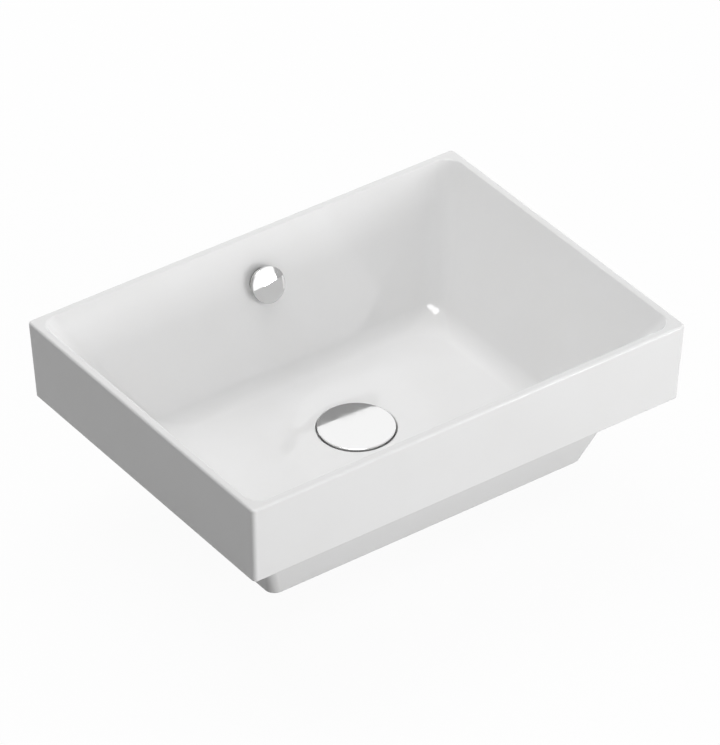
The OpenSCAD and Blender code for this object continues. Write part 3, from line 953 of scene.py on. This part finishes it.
    def bowl_rings(self) -> list[np.ndarray]:
        """Makes the rings of the floor, its fillet and the walls, up to the rim's top.

        Returns:
            The rings.
        """
        half_w = self.rim_w / 2 - self.floor_inset
        half_d = self.rim_d / 2 - self.floor_inset
        edge = self.ring(half_w, half_d, self.floor_corner_r, self.floor_edge_z)
        mouth = self.circle(self.dish_end_r, self.floor_z)
        rings = []
        for i in range(self.dish_steps):
            t = 1 - i / self.dish_steps
            level = edge * (1 - t) + mouth * t
            level[:, 2] = (
                self.floor_edge_z - self.floor_fall * (1 - math.cos(math.pi * t)) / 2
            )
            rings.append(level)
        for i in range(self.fillet_steps + 1):
            t = i / self.fillet_steps
            a = math.radians(self.turn * t)
            rings.append(
                self.bowl_ring(
                    self.floor_inset - self.floor_r * math.sin(a),
                    mix(self.floor_corner_r, self.wall_corner_r, ease(t)),
                    self.floor_edge_z + self.floor_r * (1 - math.cos(a)),
                )
            )
        a = math.radians(self.turn)
        top_inset = self.land + self.shoulder_r * math.sin(a)
        top_z = self.rim_h - self.shoulder_r * (1 - math.cos(a))
        low_inset = self.floor_inset - self.floor_r * math.sin(a)
        low_z = self.floor_edge_z + self.floor_r * (1 - math.cos(a))
        for i in range(1, self.wall_steps):
            t = i / self.wall_steps
            rings.append(
                self.bowl_ring(
                    mix(low_inset, top_inset, t), self.wall_corner_r, mix(low_z, top_z, t)
                )
            )
        for i in range(self.shoulder_steps + 1):
            t = 1 - i / self.shoulder_steps
            a = math.radians(self.turn * t)
            rings.append(
                self.bowl_ring(
                    self.land + self.shoulder_r * math.sin(a),
                    mix(self.lip_corner_r, self.wall_corner_r, ease(t)),
                    self.rim_h - self.shoulder_r * (1 - math.cos(a)),
                )
            )
        return rings

    def bowl_ring(self, inset: float, r: float, z: float) -> np.ndarray:
        """Returns a ring at an inset from the outer edge of the rim."""
        return self.ring(self.rim_w / 2 - inset, self.rim_d / 2 - inset, r, z)

    def rim_rings(self) -> list[np.ndarray]:
        """Makes the rings of the top, the outer walls and the ledge.

        Returns:
            The rings.
        """
        rings = []
        for a in quarter(8):
            inset = self.edge_r * (1 - math.sin(a))
            rings.append(
                self.bowl_ring(
                    inset,
                    max(self.corner_r - inset / 2, self.corner_r / 2),
                    self.rim_h - self.edge_r * (1 - math.cos(a)),
                )
            )
        lean = math.tan(math.radians(self.draft))
        low = (self.rim_h - self.rim_foot_r) * lean
        for i in range(1, 5):
            t = i / 4
            rings.append(
                self.bowl_ring(
                    low * t,
                    self.corner_r,
                    mix(self.rim_h - self.edge_r, self.rim_foot_r, t),
                )
            )
        for a in quarter(4, 1):
            rings.append(
                self.bowl_ring(
                    low + self.rim_foot_r * (1 - math.cos(a)),
                    self.corner_r,
                    self.rim_foot_r * (1 - math.sin(a)),
                )
            )
        return rings

    def rib_rise(self, z: float) -> float:
        """Works out how far the channel rib stands out of the back of the tray.

        Args:
            z: The height.

        Returns:
            How far it stands out there, or 0 where the wall covers it.
        """
        slope = math.tan(math.radians(self.channel_slope))
        wall = self.overflow_y - (self.overflow_z - z) * slope
        back = wall + self.rib_back / math.cos(math.radians(self.channel_slope))
        rise = back - (self.tray_d / 2 + z * math.tan(math.radians(self.taper)))
        return max(rise, 0.0)

    def tray_ring(self, inset: float, z: float) -> np.ndarray:
        """Makes one ring of the tray, its rib included.

        Args:
            inset: How far it lies inside the tray's outline at the worktop.
            z: Its height.

        Returns:
            The ring.
        """
        half_w, half_d = self.tray_w / 2 - inset, self.tray_d / 2 - inset
        return self.ring(half_w, half_d, self.tray_corner_r, z, self.rib_rise(z))

    def tray_rings(self) -> list[np.ndarray]:
        """Makes the rings of the tray, from the ledge down to its foot.

        Returns:
            The rings.
        """
        lean = math.tan(math.radians(self.taper))
        root = self.tray_root_r
        rings = []
        for a in quarter(4):
            z = -root * (1 - math.cos(a))
            rings.append(self.tray_ring(-z * lean - root * (1 - math.sin(a)), z))
        low = self.tray_edge_r - self.tray_h
        for i in range(1, 9):
            z = mix(-root, low, i / 8)
            rings.append(self.tray_ring(-z * lean, z))
        for a in quarter(6, 1):
            z = low - self.tray_edge_r * math.sin(a)
            inset = -z * lean + self.tray_edge_r * (1 - math.cos(a))
            rings.append(self.tray_ring(inset, z))
        return rings

    def hole_rings(self) -> list[np.ndarray]:
        """Makes the rings of the drain hole and the overflow gallery, from the foot up.

        Returns:
            The rings.
        """
        half = self.channel_h * self.gallery_share
        low, high = self.gallery_mid_z - half, self.gallery_mid_z + half
        levels = [
            (self.hole_r, -self.tray_h),
            (self.hole_r, low),
            (self.gallery_r, low),
            (self.gallery_r, high),
            (self.hole_r, high),
        ]
        return [self.circle(r, z) for r, z in levels]

    # The hollow of the underside

    def pocket_reach(self, points: np.ndarray) -> np.ndarray:
        """Works out how far points lie outside the hollow of the underside at its foot.

        Args:
            points: Places in the plane of the foot.

        Returns:
            Signed distances, negative inside the hollow, with soft inner corners.
        """
        lean = self.tray_h * math.tan(math.radians(self.taper)) + self.skin_t
        half = np.array([self.tray_w / 2 - lean, self.tray_d / 2 - lean])
        q = np.abs(points) - (half - self.pocket_corner_r)
        wall = (
            np.linalg.norm(np.maximum(q, 0), axis=1)
            + np.minimum(q.max(axis=1), 0)
            - self.pocket_corner_r
        )
        boss = np.linalg.norm(points, axis=1) - self.boss_r
        rib_points = np.stack([points[:, 0], np.maximum(points[:, 1], 0)], 1)
        rib = np.abs(rib_points[:, 0]) - self.rib_half
        rib = np.where(points[:, 1] < 0, np.hypot(np.maximum(rib, 0), points[:, 1]), rib)
        kept = soft_min(boss, rib, self.pocket_blend)
        return -soft_min(-wall, kept, self.pocket_blend)

    def pocket_outline(self) -> np.ndarray:
        """Makes a rough outline of the hollow, before it is drawn to its level.

        Returns:
            The points, in order round the hollow and the boss.
        """
        lean = self.tray_h * math.tan(math.radians(self.taper)) + self.skin_t
        x, y = self.tray_w / 2 - lean, self.tray_d / 2 - lean
        rib = self.rib_half
        meet = math.atan2(math.sqrt(self.boss_r**2 - rib**2), rib)
        low = self.boss_r * math.sin(meet)
        turns = [(rib, y), (x, y), (x, -y), (-x, -y), (-x, y), (-rib, y), (-rib, low)]
        path: Section = []
        for a, b in zip(turns, turns[1:]):
            steps = max(2, int(math.dist(a, b) / self.pocket_step))
            path += [
                (mix(a[0], b[0], i / steps), mix(a[1], b[1], i / steps))
                for i in range(steps)
            ]
        start, end = math.pi - meet, 2 * math.pi + meet
        steps = int((end - start) * self.boss_r / self.boss_step)
        path += [
            (
                self.boss_r * math.cos(mix(start, end, i / steps)),
                self.boss_r * math.sin(mix(start, end, i / steps)),
            )
            for i in range(steps)
        ]
        steps = int((y - low) / self.pocket_step)
        path += [(rib, mix(low, y, i / steps)) for i in range(steps)]
        return np.array(path)

    def pocket_tool(self) -> bpy.types.Object:
        """Makes the solid that cuts the hollow, with a rounded mouth and a filleted roof.

        Returns:
            The tool.
        """
        mouth_r, roof_r = self.pocket_mouth_r, self.pocket_roof_r
        lean = math.tan(math.radians(self.pocket_draft))
        foot, top = -self.tray_h, self.roof_z
        levels = [(mouth_r + self.overrun, foot - self.overrun), (mouth_r, foot)]
        levels += [
            (mouth_r * (1 - math.sin(a)), foot + mouth_r * (1 - math.cos(a)))
            for a in quarter(6, 1)
        ]
        for a in quarter(6):
            z = top - roof_r * (1 - math.sin(a))
            levels.append((-(z - foot) * lean - roof_r * (1 - math.cos(a)), z))
        rings = []
        outline = self.pocket_outline()
        for reach, z in levels:
            outline = drawn_to_level(outline, self.pocket_reach, reach)
            rings.append(np.column_stack([outline, np.full(len(outline), z)]))
        return loft("pocket tool", rings)

    # The overflow channel

    def overflow_frame(self) -> Matrix:
        """Makes the frame of the overflow, in metres.

        Returns:
            The frame, whose z leaves the wall and whose y climbs it.
        """
        middle = Vector((0, self.overflow_y, self.overflow_z)) * MM
        lean = Matrix.Rotation(math.radians(90 - self.channel_slope), 4, "X")
        return Matrix.Translation(middle) @ lean

    def channel_tools(self) -> list[bpy.types.Object]:
        """Makes the solids that cut the overflow hole and its channel.

        Returns:
            The duct behind the wall, the hole into it and the run to the gallery.
        """
        frame = self.overflow_frame()
        slope = math.radians(self.channel_slope)
        fall = (self.overflow_z - self.gallery_mid_z) / math.cos(slope)
        top = self.overflow_hole_r + self.channel_cover / 2
        half = self.channel_w / 2
        duct = slab(
            "duct tool", (-half, half), (-fall, top), (-self.channel_back, -self.channel_skin)
        )
        move_mesh(duct, frame)
        lip, bottom = self.overflow_lip_r, -self.channel_back + self.channel_d / 2
        hole = turned(
            "hole tool",
            [
                (0, self.hole_overrun),
                (self.overflow_hole_r + lip, self.hole_overrun),
                *arc((self.overflow_hole_r + lip, -lip), lip, 90, 180, 6),
                (self.overflow_hole_r, bottom),
                (0, bottom),
            ],
            96,
        )
        move_mesh(hole, frame)
        end_y = (
            self.overflow_y - fall * math.sin(slope) + self.channel_back * math.cos(slope)
        )
        low = self.gallery_mid_z - self.channel_h / 2
        run = slab(
            "run tool",
            (-half, half),
            (self.gallery_r - self.hole_overrun, end_y),
            (low, low + self.channel_h),
        )
        return [duct, hole, run]

    def build(self, shelf: FinishShelf) -> bpy.types.Object:
        """Builds the casting and puts it in the place of its CAD node.

        Args:
            shelf: Where the finishes come from.

        Returns:
            The casting.
        """
        rings = (
            self.drain_rings()
            + self.bowl_rings()
            + self.rim_rings()
            + self.tray_rings()
            + self.hole_rings()
        )
        body = loft("ceramic_casting", rings, closed=True)
        carve(body, [self.pocket_tool(), *self.channel_tools()])
        smooth(body)
        shelf.dress(body, Coat.GLAZE)
        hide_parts("basin_body")
        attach(body, "basin")
        LOG.info("casting: %d faces", len(body.data.polygons))
        return body


def soft_min(a: np.ndarray, b: np.ndarray, reach: float) -> np.ndarray:
    """Returns the smaller of two distances, rounded where they are nearly equal."""
    h = np.clip(0.5 + 0.5 * (b - a) / reach, 0, 1)
    return b * (1 - h) + a * h - reach * h * (1 - h) / 2


def drawn_to_level(
    points: np.ndarray, reach: Callable[[np.ndarray], np.ndarray], level: float
) -> np.ndarray:
    """Moves points along the slope of a distance until they lie at a level of it.

    Args:
        points: The points.
        reach: The distance as a function of the points.
        level: The level wanted.

    Returns:
        The moved points.
    """
    points = points.copy()
    step = 0.01
    for _ in range(12):
        value = reach(points) - level
        slope = np.column_stack(
            [
                reach(points + [step, 0]) - reach(points - [step, 0]),
                reach(points + [0, step]) - reach(points - [0, step]),
            ]
        ) / (2 * step)
        size = np.maximum((slope**2).sum(axis=1), 0.2)
        points -= slope * (value / size)[:, None]
    return points


def slab(name: str, x: Point, y: Point, z: Point) -> bpy.types.Object:
    """Makes a rectangular solid.

    Args:
        name: Name of the object.
        x: Its lowest and highest place along X, in millimetres.
        y: The same along Y.
        z: The same along Z.

    Returns:
        The object.
    """
    points = [(a, b, c) for a in x for b in y for c in z]
    faces = [
        (0, 1, 3, 2),
        (4, 6, 7, 5),
        (0, 4, 5, 1),
        (2, 3, 7, 6),
        (0, 2, 6, 4),
        (1, 5, 7, 3),
    ]
    return mesh_object(name, points, faces)


# The chrome fittings


@dataclass
class OverflowCover:
    """The round cover that stands off the back wall over the overflow hole."""

    r: float = 18.4
    reach: float = 10.6
    side: float = 3.6
    t: float = 1.5
    edge_r: float = 0.6
    boss_r: float = 3.6
    boss_foot: float = 3.0
    stud_r: float = 2.4
    crown: float = 0.6
    crown_shares: tuple[float, ...] = (0.15, 0.3, 0.45, 0.6, 0.75, 0.9)
    bevel: float = 0.3
    inner_bevel: float = 1.0
    lean_deg: float = -1.5

    def build(self, casting: Casting, shelf: FinishShelf) -> bpy.types.Object:
        """Builds the cover in the place of its CAD node.

        Args:
            casting: The casting, which knows where the overflow is.
            shelf: Where the finishes come from.

        Returns:
            The cover.
        """
        face = self.reach
        flat = self.r - self.edge_r
        outline: Section = [(0, face)]
        outline += [
            (flat * share, face - self.crown * share**2)
            for share in self.crown_shares
        ]
        outline += arc(
            (flat, face - self.crown - self.edge_r), self.edge_r, 90, 0, 8
        )
        outline += [
            (self.r, face - self.side + self.bevel),
            (self.r - self.bevel, face - self.side),
            (self.r - self.t, face - self.side),
            (self.r - self.t, face - self.t - self.inner_bevel),
            (self.r - self.t - self.inner_bevel, face - self.t),
            (self.boss_r, face - self.t),
            (self.boss_r, self.boss_foot),
            (self.stud_r, self.boss_foot),
            (self.stud_r, face - self.t / 2),
            (0, face - self.t / 2),
        ]
        cover = turned("overflow_cover_dressed", outline, 160)
        # The cover leans a little on its stud, which the corner of the rim in it shows
        pivot = Vector((0, 0, (self.reach + self.boss_foot) / 2)) * MM
        lean = (
            Matrix.Translation(pivot)
            @ Matrix.Rotation(math.radians(self.lean_deg), 4, "X")
            @ Matrix.Translation(-pivot)
        )
        move_mesh(cover, casting.overflow_frame() @ lean)
        smooth(cover)
        shelf.dress(cover, Coat.CHROME)
        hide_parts("overflow_cover")
        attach(cover, "basin")
        LOG.info("overflow cover: %d faces", len(cover.data.polygons))
        return cover


@dataclass
class PlugCap:
    """The flat round cap of the press-to-open plug."""

    r: float = 38.0
    top_z: float = -35.2
    t: float = 3.0
    edge_r: float = 0.7
    boss_r: float = 7.0
    boss_h: float = 6.0
    boss_root: float = 1.0
    hole_r: float = 3.05

    def build(self, shelf: FinishShelf) -> bpy.types.Object:
        """Builds the cap in the place of its CAD node.

        Args:
            shelf: Where the finishes come from.

        Returns:
            The cap.
        """
        top, under = self.top_z, self.top_z - self.t
        flat = self.r - self.edge_r
        outline: Section = [(0, top)]
        outline += [(flat * share, top) for share in (0.3, 0.6, 0.9)]
        outline += arc((flat, top - self.edge_r), self.edge_r, 90, 0, 10)
        outline += arc((flat, under + self.edge_r), self.edge_r, 0, -90, 6)
        outline += [
            (self.boss_r + self.boss_root, under),
            (self.boss_r, under - self.boss_root),
            (self.boss_r, under - self.boss_h),
            (self.hole_r, under - self.boss_h),
            (self.hole_r, under),
            (0, under),
        ]
        cap = turned("plug_cap_dressed", outline, 220)
        smooth(cap)
        shelf.dress(cap, Coat.CHROME)
        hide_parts("plug_cap")
        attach(cap, "plug")
        LOG.info("plug cap: %d faces", len(cap.data.polygons))
        return cap


@dataclass
class Waste:
    """The flanged and slotted waste with its real pipe threads."""

    # Flange and funnel
    flange_r: float = 33.0
    flange_edge_r: float = 0.8
    flange_top_z: float = -40.0
    flange_z: float = -42.5
    dish_r: float = 30.5
    flange_fall: float = 0.6
    funnel_r: float = 21.6
    funnel_foot_z: float = -46.0
    neck_r: float = 22.3
    neck_foot_z: float = -48.5
    funnel_shares: tuple[float, ...] = (0.35, 0.7, 1.0)
    # Tail and thread
    crest_r: float = 20.95
    bore_r: float = 18.2
    foot_z: float = -120.5
    relief_z: float = -100.5
    relief_w: float = 2.0
    relief_d: float = 0.8
    lead: float = 1.0
    pitch: float = 2.309
    thread_depth: float = 1.1
    thread_top_z: float = -84.0
    thread_steps: int = 8
    # Overflow slots
    slot_h: float = 16.0
    slot_w: float = 14.0
    slot_mid_z: float = -68.9
    slot_count: int = 4
    slot_overrun: float = 4.0
    # Spider that carries the cartridge
    hub_top_z: float = -85.5
    hub_h: float = 6.0
    hub_r: float = 7.5
    hub_bevel: float = 0.4
    hub_bore_r: float = 4.05
    bore_overrun: float = 1.0
    rib_t: float = 2.6
    rib_count: int = 3
    rib_in_hub: float = 1.5
    rib_in_wall: float = 0.8
    steps: int = 96

    def outer_radius(self, angle: float, z: float) -> float:
        """Returns the outer radius of the tail at an angle and a height.

        Args:
            angle: Angle about the axis in radians.
            z: Height in millimetres.

        Returns:
            The radius over the thread, the relief or the plain wall.
        """
        if self.relief_z >= z >= self.relief_z - self.relief_w:
            return self.crest_r - self.relief_d
        phase = (z / self.pitch - angle / (2 * math.pi)) % 1.0
        tooth = abs(2 * phase - 1)
        # The flanks take four fifths of the pitch, and the crest and the root share the rest
        depth = self.thread_depth * min(1.0, max(0.0, 1.25 * tooth - 0.125))
        fade = min(1.0, max(0.0, (self.thread_top_z - z) / self.pitch))
        lead = max(0.0, self.lead - (z - self.foot_z))
        return min(self.crest_r - depth * fade, self.crest_r - lead)

    def build(self, shelf: FinishShelf) -> bpy.types.Object:
        """Builds the waste in the place of its CAD node.

        Args:
            shelf: Where the finishes come from.

        Returns:
            The waste.
        """
        edge_r = self.flange_edge_r
        plain: Section = [
            (self.bore_r, self.foot_z),
            (self.bore_r, self.funnel_foot_z),
            *(
                (mix(self.bore_r, self.funnel_r, share), self.throat_z(share))
                for share in self.funnel_shares
            ),
            (self.dish_r, self.flange_top_z),
            *arc((self.flange_r - edge_r, self.flange_top_z - edge_r), edge_r, 90, 0, 6),
            (self.flange_r, self.flange_z),
            (self.neck_r, self.flange_z),
            (self.neck_r, self.neck_foot_z),
            (self.crest_r, self.neck_foot_z - (self.neck_r - self.crest_r)),
            (self.crest_r, self.thread_top_z),
        ]
        angles = [2 * math.pi * i / self.steps for i in range(self.steps)]
        rings = [
            [(r * math.cos(a), r * math.sin(a), z) for a in angles] for r, z in plain
        ]
        count = int((self.thread_top_z - self.foot_z) / self.pitch * self.thread_steps)
        for k in range(1, count + 1):
            z = mix(self.thread_top_z, self.foot_z, k / count)
            outer = [(a, self.outer_radius(a, z)) for a in angles]
            rings.append([(r * math.cos(a), r * math.sin(a), z) for a, r in outer])
        waste = loft("waste_body_dressed", rings, closed=True)
        carve(waste, self.spider_tools(), Cut.JOIN)
        carve(waste, [*self.slot_tools(), self.hub_bore_tool()])
        smooth(waste, 38.0)
        shelf.dress(waste, Coat.CHROME)
        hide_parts("waste_body")
        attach(waste, "basin")
        LOG.info("waste: %d faces", len(waste.data.polygons))
        return waste

    def throat_z(self, share: float) -> float:
        """Returns the height of the funnel at a share of its width."""
        top = self.flange_top_z - self.flange_fall
        return mix(self.funnel_foot_z, top, share)

    def spider_tools(self) -> list[bpy.types.Object]:
        """Makes the hub and the ribs that carry the cartridge.

        Returns:
            The hub and its ribs.
        """
        top, low, bevel = self.hub_top_z, self.hub_top_z - self.hub_h, self.hub_bevel
        hub = turned(
            "hub",
            [
                (0, top),
                (self.hub_r - bevel, top),
                (self.hub_r, top - bevel),
                (self.hub_r, low + bevel),
                (self.hub_r - bevel, low),
                (0, low),
            ],
            64,
        )
        tools = [hub]
        for k in range(self.rib_count):
            rib = slab(
                "rib",
                (self.hub_r - self.rib_in_hub, self.bore_r + self.rib_in_wall),
                (-self.rib_t / 2, self.rib_t / 2),
                (low + self.hub_h / 4, low + 3 * self.hub_h / 4),
            )
            turn = math.radians(90 + 360 * k / self.rib_count)
            move_mesh(rib, Matrix.Rotation(turn, 4, "Z"))
            tools.append(rib)
        return tools

    def hub_bore_tool(self) -> bpy.types.Object:
        """Makes the solid that drills the hub.

        Returns:
            The tool.
        """
        top = self.hub_top_z + self.bore_overrun
        low = self.hub_top_z - self.hub_h - self.bore_overrun
        outline = [(0, top), (self.hub_bore_r, top), (self.hub_bore_r, low), (0, low)]
        return turned("hub bore", outline, 48)

    def slot_tools(self) -> list[bpy.types.Object]:
        """Makes the solids that cut the overflow slots.

        Returns:
            One tool for each slot.
        """
        tools = []
        half, rise = self.slot_w / 2, (self.slot_h - self.slot_w) / 2
        for k in range(self.slot_count):
            section: Section = arc((0, rise), half, 0, 180, 12)
            section += arc((0, -rise), half, 180, 360, 12)
            rings = [
                [(x, u, self.slot_mid_z + v) for u, v in section]
                for x in (self.bore_r / 2, self.crest_r + self.slot_overrun)
            ]
            slot = loft("slot tool", rings)
            turn = math.radians(360 * (k + 0.5) / self.slot_count)
            move_mesh(slot, Matrix.Rotation(turn, 4, "Z"))
            tools.append(slot)
        return tools


@dataclass
class SmallPieces:
    """The CAD nodes whose shape is right as it is and that only need their finish."""

    coats: dict[str, Coat] = field(
        default_factory=lambda: {
            "overflow_stud": Coat.BRASS,
            "overflow_sleeve": Coat.WHITE_PLASTIC,
            "overflow_washer": Coat.RUBBER,
            "flange_washer": Coat.RUBBER,
            "boss_seal": Coat.RUBBER,
            "slip_washer": Coat.ACETAL,
            "back_nut": Coat.BRASS,
            "plug_carrier": Coat.ACETAL,
            "plug_seal": Coat.RUBBER,
            "plug_stem": Coat.BRASS,
            "stem_locknut": Coat.BRASS,
            "cartridge_housing": Coat.BRASS,
            "cartridge_ring_seal": Coat.RUBBER,
            "cartridge_rotor": Coat.ACETAL,
            "cartridge_spring": Coat.SPRING_STEEL,
            "cartridge_base": Coat.BRASS,
            "cartridge_base_nut": Coat.BRASS,
        }
    )

    def dress(self, nodes: dict[str, bpy.types.Object], shelf: FinishShelf) -> None:
        """Gives each of these nodes its finish.

        Args:
            nodes: The CAD nodes by name.
            shelf: Where the finishes come from.
        """
        for name, coat in self.coats.items():
            shelf.dress(nodes[name], coat)
            LOG.info("%s: %s", name, coat.value)


# Studio


@dataclass
class Softbox:
    """One rectangular studio lamp in degrees and metres, turned to the object."""

    name: str
    azimuth: float
    elevation: float
    distance: float
    width: float
    height: float
    brightness: float
    seen_in_gloss: bool = True

    def build(self) -> bpy.types.Object:
        """Builds the lamp, sized in metres and with a brightness of which 1 is white.

        Returns:
            The lamp.
        """
        data = bpy.data.lights.new(self.name, "AREA")
        data.shape = "RECTANGLE"
        data.size, data.size_y = self.width, self.height
        data.energy = self.brightness * math.pi * self.width * self.height
        lamp = bpy.data.objects.new(self.name, data)
        bpy.context.scene.collection.objects.link(lamp)
        way = direction(self.azimuth, self.elevation)
        lamp.location = way * self.distance
        lamp.rotation_euler = (-way).to_track_quat("-Z", "Y").to_euler()
        lamp.visible_camera = False
        lamp.visible_glossy = self.seen_in_gloss
        return lamp


@dataclass
class MirrorCard:
    """A glowing card that only gloss shows, hung where the polished pieces reflect it.

    Unless they are given, its edge and rise are those of the two cards whose mirror image splits
    the plug cap into a grey and a white part.
    """

    name: str
    brightness: float
    low: float
    high: float
    edge_from: tuple[float, float, float] = (0.2770, 0.4827, 0.3789)
    edge_to: tuple[float, float, float] = (0.3891, 0.4731, 0.3758)
    rise: tuple[float, float, float] = (0.41, -0.755, 0.511)

    def build(self) -> bpy.types.Object:
        """Builds the card between two distances from its edge.

        Returns:
            The card, in metres.
        """
        ends = [Vector(self.edge_from), Vector(self.edge_to)]
        low = [p + Vector(self.rise) * self.low for p in ends]
        high = [p + Vector(self.rise) * self.high for p in reversed(ends)]
        card = mesh_object(self.name, [p / MM for p in low + high], [(0, 1, 2, 3)])
        material = bpy.data.materials.new(self.name)
        material.use_nodes = True
        tree = material.node_tree
        tree.nodes.clear()
        glow = add_node(
            tree,
            "ShaderNodeEmission",
            {"Color": linear("#FFFFFF"), "Strength": self.brightness},
        )
        add_node(
            tree,
            "ShaderNodeOutputMaterial",
            links={"Surface": glow.outputs["Emission"]},
        )
        card.data.materials.append(material)
        card.visible_camera = False
        card.visible_diffuse = False
        card.visible_shadow = False
        card.visible_transmission = False
        return card


@dataclass
class Studio:
    """The floor, the lamps, the surround and the camera."""

    # Floor: its height in millimetres, its size in metres, its colours and its glow
    floor_z: float = -120.6
    floor_size: float = 12.0
    board: str = "#FAFAFA"
    bounce: str = "#8C8C8C"
    floor_white: float = 0.95
    floor_in_gloss: float = 0.2
    # Strength of the world where it lights the object
    surround: float = 0.3
    # Camera: its place in metres, its direction in degrees and its focal length
    camera_at: tuple[float, float, float] = (-2.82558, -3.90562, 3.49319)
    azimuth: float = -35.924
    elevation: float = 35.714
    focal_px: float = 6258.7
    long_side_px: float = 745.0
    sensor_mm: float = 36.0
    # Lamps and cards
    lamps: list[Softbox] = field(
        default_factory=lambda: [
            # Azimuth, elevation, distance, width, height, brightness, seen in gloss
            Softbox("front right softbox", 29, 12, 3.0, 1.6, 0.9, 2.2, False),
            Softbox("low front softbox", 18.5, 4, 3.0, 1.6, 0.5, 14.0),
            Softbox("front softbox", -10, 25, 3.0, 3.0, 1.5, 0.9, False),
            Softbox("back softbox", 180, 62, 2.8, 2.0, 1.5, 2.2, False),
            Softbox("high back softbox", 150, 58, 2.8, 3.0, 2.6, 1.1, False),
            Softbox("left back softbox", -131, 16, 3.0, 1.2, 0.9, 0.3, False),
        ]
    )
    cards: list[MirrorCard] = field(
        default_factory=lambda: [
            # Brightness, start and end along the rise, both ends of the edge, the rise
            MirrorCard("grey_card", 0.43, -0.03, 0.0),
            MirrorCard("white_card", 1.42, 0.0, 0.08),
            MirrorCard(
                "shade_card", 0.6, 0.0, 0.9, (1.77, -2.64, -0.1), (2.99, -1.25, -0.1), (0, 0, 1)
            ),
            MirrorCard(
                "front_card", 1.6, 0.0, 1.3, (-1.0, -3.0, 0.0), (1.77, -2.64, 0.0), (0, 0, 1)
            ),
            MirrorCard(
                "corner_strip", 9.0, 0.0, 2.2, (-0.8, -1.55, 2.2), (0.1, -1.55, 2.2), (0, 1, 0)
            ),
        ]
    )

    def build_camera(self) -> bpy.types.Object:
        """Builds the camera that sees the object as the photograph does.

        Returns:
            The camera.
        """
        data = bpy.data.cameras.new("camera")
        data.sensor_width = self.sensor_mm
        data.lens = self.focal_px * self.sensor_mm / self.long_side_px
        data.clip_start, data.clip_end = 0.1, 60.0
        camera = bpy.data.objects.new("camera", data)
        bpy.context.scene.collection.objects.link(camera)
        a = math.radians(self.azimuth)
        back = direction(self.azimuth, self.elevation)
        right = Vector((math.cos(a), math.sin(a), 0))
        up = back.cross(right)
        turn = Matrix((right, up, back)).transposed()
        camera.matrix_world = Matrix.Translation(self.camera_at) @ turn.to_4x4()
        bpy.context.scene.camera = camera
        return camera

    def build_surround(self) -> None:
        """Builds the world: white where it is seen or mirrored, dim where it lights."""
        world = bpy.data.worlds.new("surround")
        bpy.context.scene.world = world
        world.use_nodes = True
        tree = world.node_tree
        tree.nodes.clear()
        path = add_node(tree, "ShaderNodeLightPath")
        seen = path.outputs["Is Camera Ray"]
        for ray in ("Is Glossy Ray", "Is Transmission Ray"):
            seen = add_node(
                tree,
                "ShaderNodeMath",
                links={0: seen, 1: path.outputs[ray]},
                operation="MAXIMUM",
            ).outputs["Value"]
        dim = add_node(
            tree,
            "ShaderNodeBackground",
            {"Color": linear("#FFFFFF"), "Strength": self.surround},
        )
        white = add_node(
            tree,
            "ShaderNodeBackground",
            {"Color": linear("#FFFFFF"), "Strength": 1.0},
        )
        blend = add_node(
            tree,
            "ShaderNodeMixShader",
            links={
                0: seen,
                1: dim.outputs["Background"],
                2: white.outputs["Background"],
            },
        )
        add_node(
            tree,
            "ShaderNodeOutputWorld",
            links={"Surface": blend.outputs["Shader"]},
        )

    def floor_material(self) -> bpy.types.Material:
        """Builds the material of the floor: white board that keeps a faint shadow.

        Returns:
            The material.
        """
        material = bpy.data.materials.new("white studio board")
        material.use_nodes = True
        tree = material.node_tree
        tree.nodes.clear()
        path = add_node(tree, "ShaderNodeLightPath")
        # The board is pale where it is seen, and sends less light back up to the object
        shade = add_node(
            tree,
            "ShaderNodeMix",
            {6: linear(self.board), 7: linear(self.bounce)},
            {0: path.outputs["Is Diffuse Ray"]},
            data_type="RGBA",
        )
        board = add_node(
            tree, "ShaderNodeBsdfDiffuse", links={"Color": shade.outputs[2]}
        )
        glow = add_node(
            tree,
            "ShaderNodeEmission",
            {"Color": linear("#FFFFFF"), "Strength": 1.0},
        )
        gloss = add_node(
            tree,
            "ShaderNodeMath",
            {1: self.floor_in_gloss},
            {0: path.outputs["Is Glossy Ray"]},
            operation="MULTIPLY",
        )
        share = add_node(
            tree,
            "ShaderNodeMath",
            {1: self.floor_white},
            {0: path.outputs["Is Camera Ray"], 2: gloss.outputs["Value"]},
            operation="MULTIPLY_ADD",
        )
        blend = add_node(
            tree,
            "ShaderNodeMixShader",
            links={
                0: share.outputs["Value"],
                1: board.outputs["BSDF"],
                2: glow.outputs["Emission"],
            },
        )
        add_node(
            tree,
            "ShaderNodeOutputMaterial",
            links={"Surface": blend.outputs["Shader"]},
        )
        return material

    def build_floor(self) -> bpy.types.Object:
        """Builds the floor just below the tail of the waste.

        Returns:
            The floor.
        """
        half = self.floor_size / 2 / MM
        plan = [(-half, -half), (half, -half), (half, half), (-half, half)]
        points = [(x, y, self.floor_z) for x, y in plan]
        floor = mesh_object("studio_floor", points, [(0, 1, 2, 3)])
        if floor.data.polygons[0].normal.z < 0:
            floor.data.flip_normals()
        floor.data.materials.append(self.floor_material())
        return floor

    def build(self) -> None:
        """Builds the whole studio."""
        bpy.context.scene.view_settings.view_transform = "Standard"
        self.build_camera()
        self.build_surround()
        self.build_floor()
        for card in self.cards:
            card.build()
        for lamp in self.lamps:
            lamp.build()
        LOG.info("studio: %d lamps", len(self.lamps))


def main() -> None:
    """Builds the dressed basin in its studio, piece by piece."""
    logging.basicConfig(level=logging.INFO, format="%(name)s: %(message)s")
    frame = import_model()
    shelf = FinishShelf()
    casting = Casting()
    casting.build(shelf)
    OverflowCover().build(casting, shelf)
    PlugCap().build(shelf)
    Waste().build(shelf)
    SmallPieces().dress(frame["nodes"], shelf)
    Studio().build()


if __name__ == "__main__":
    main()
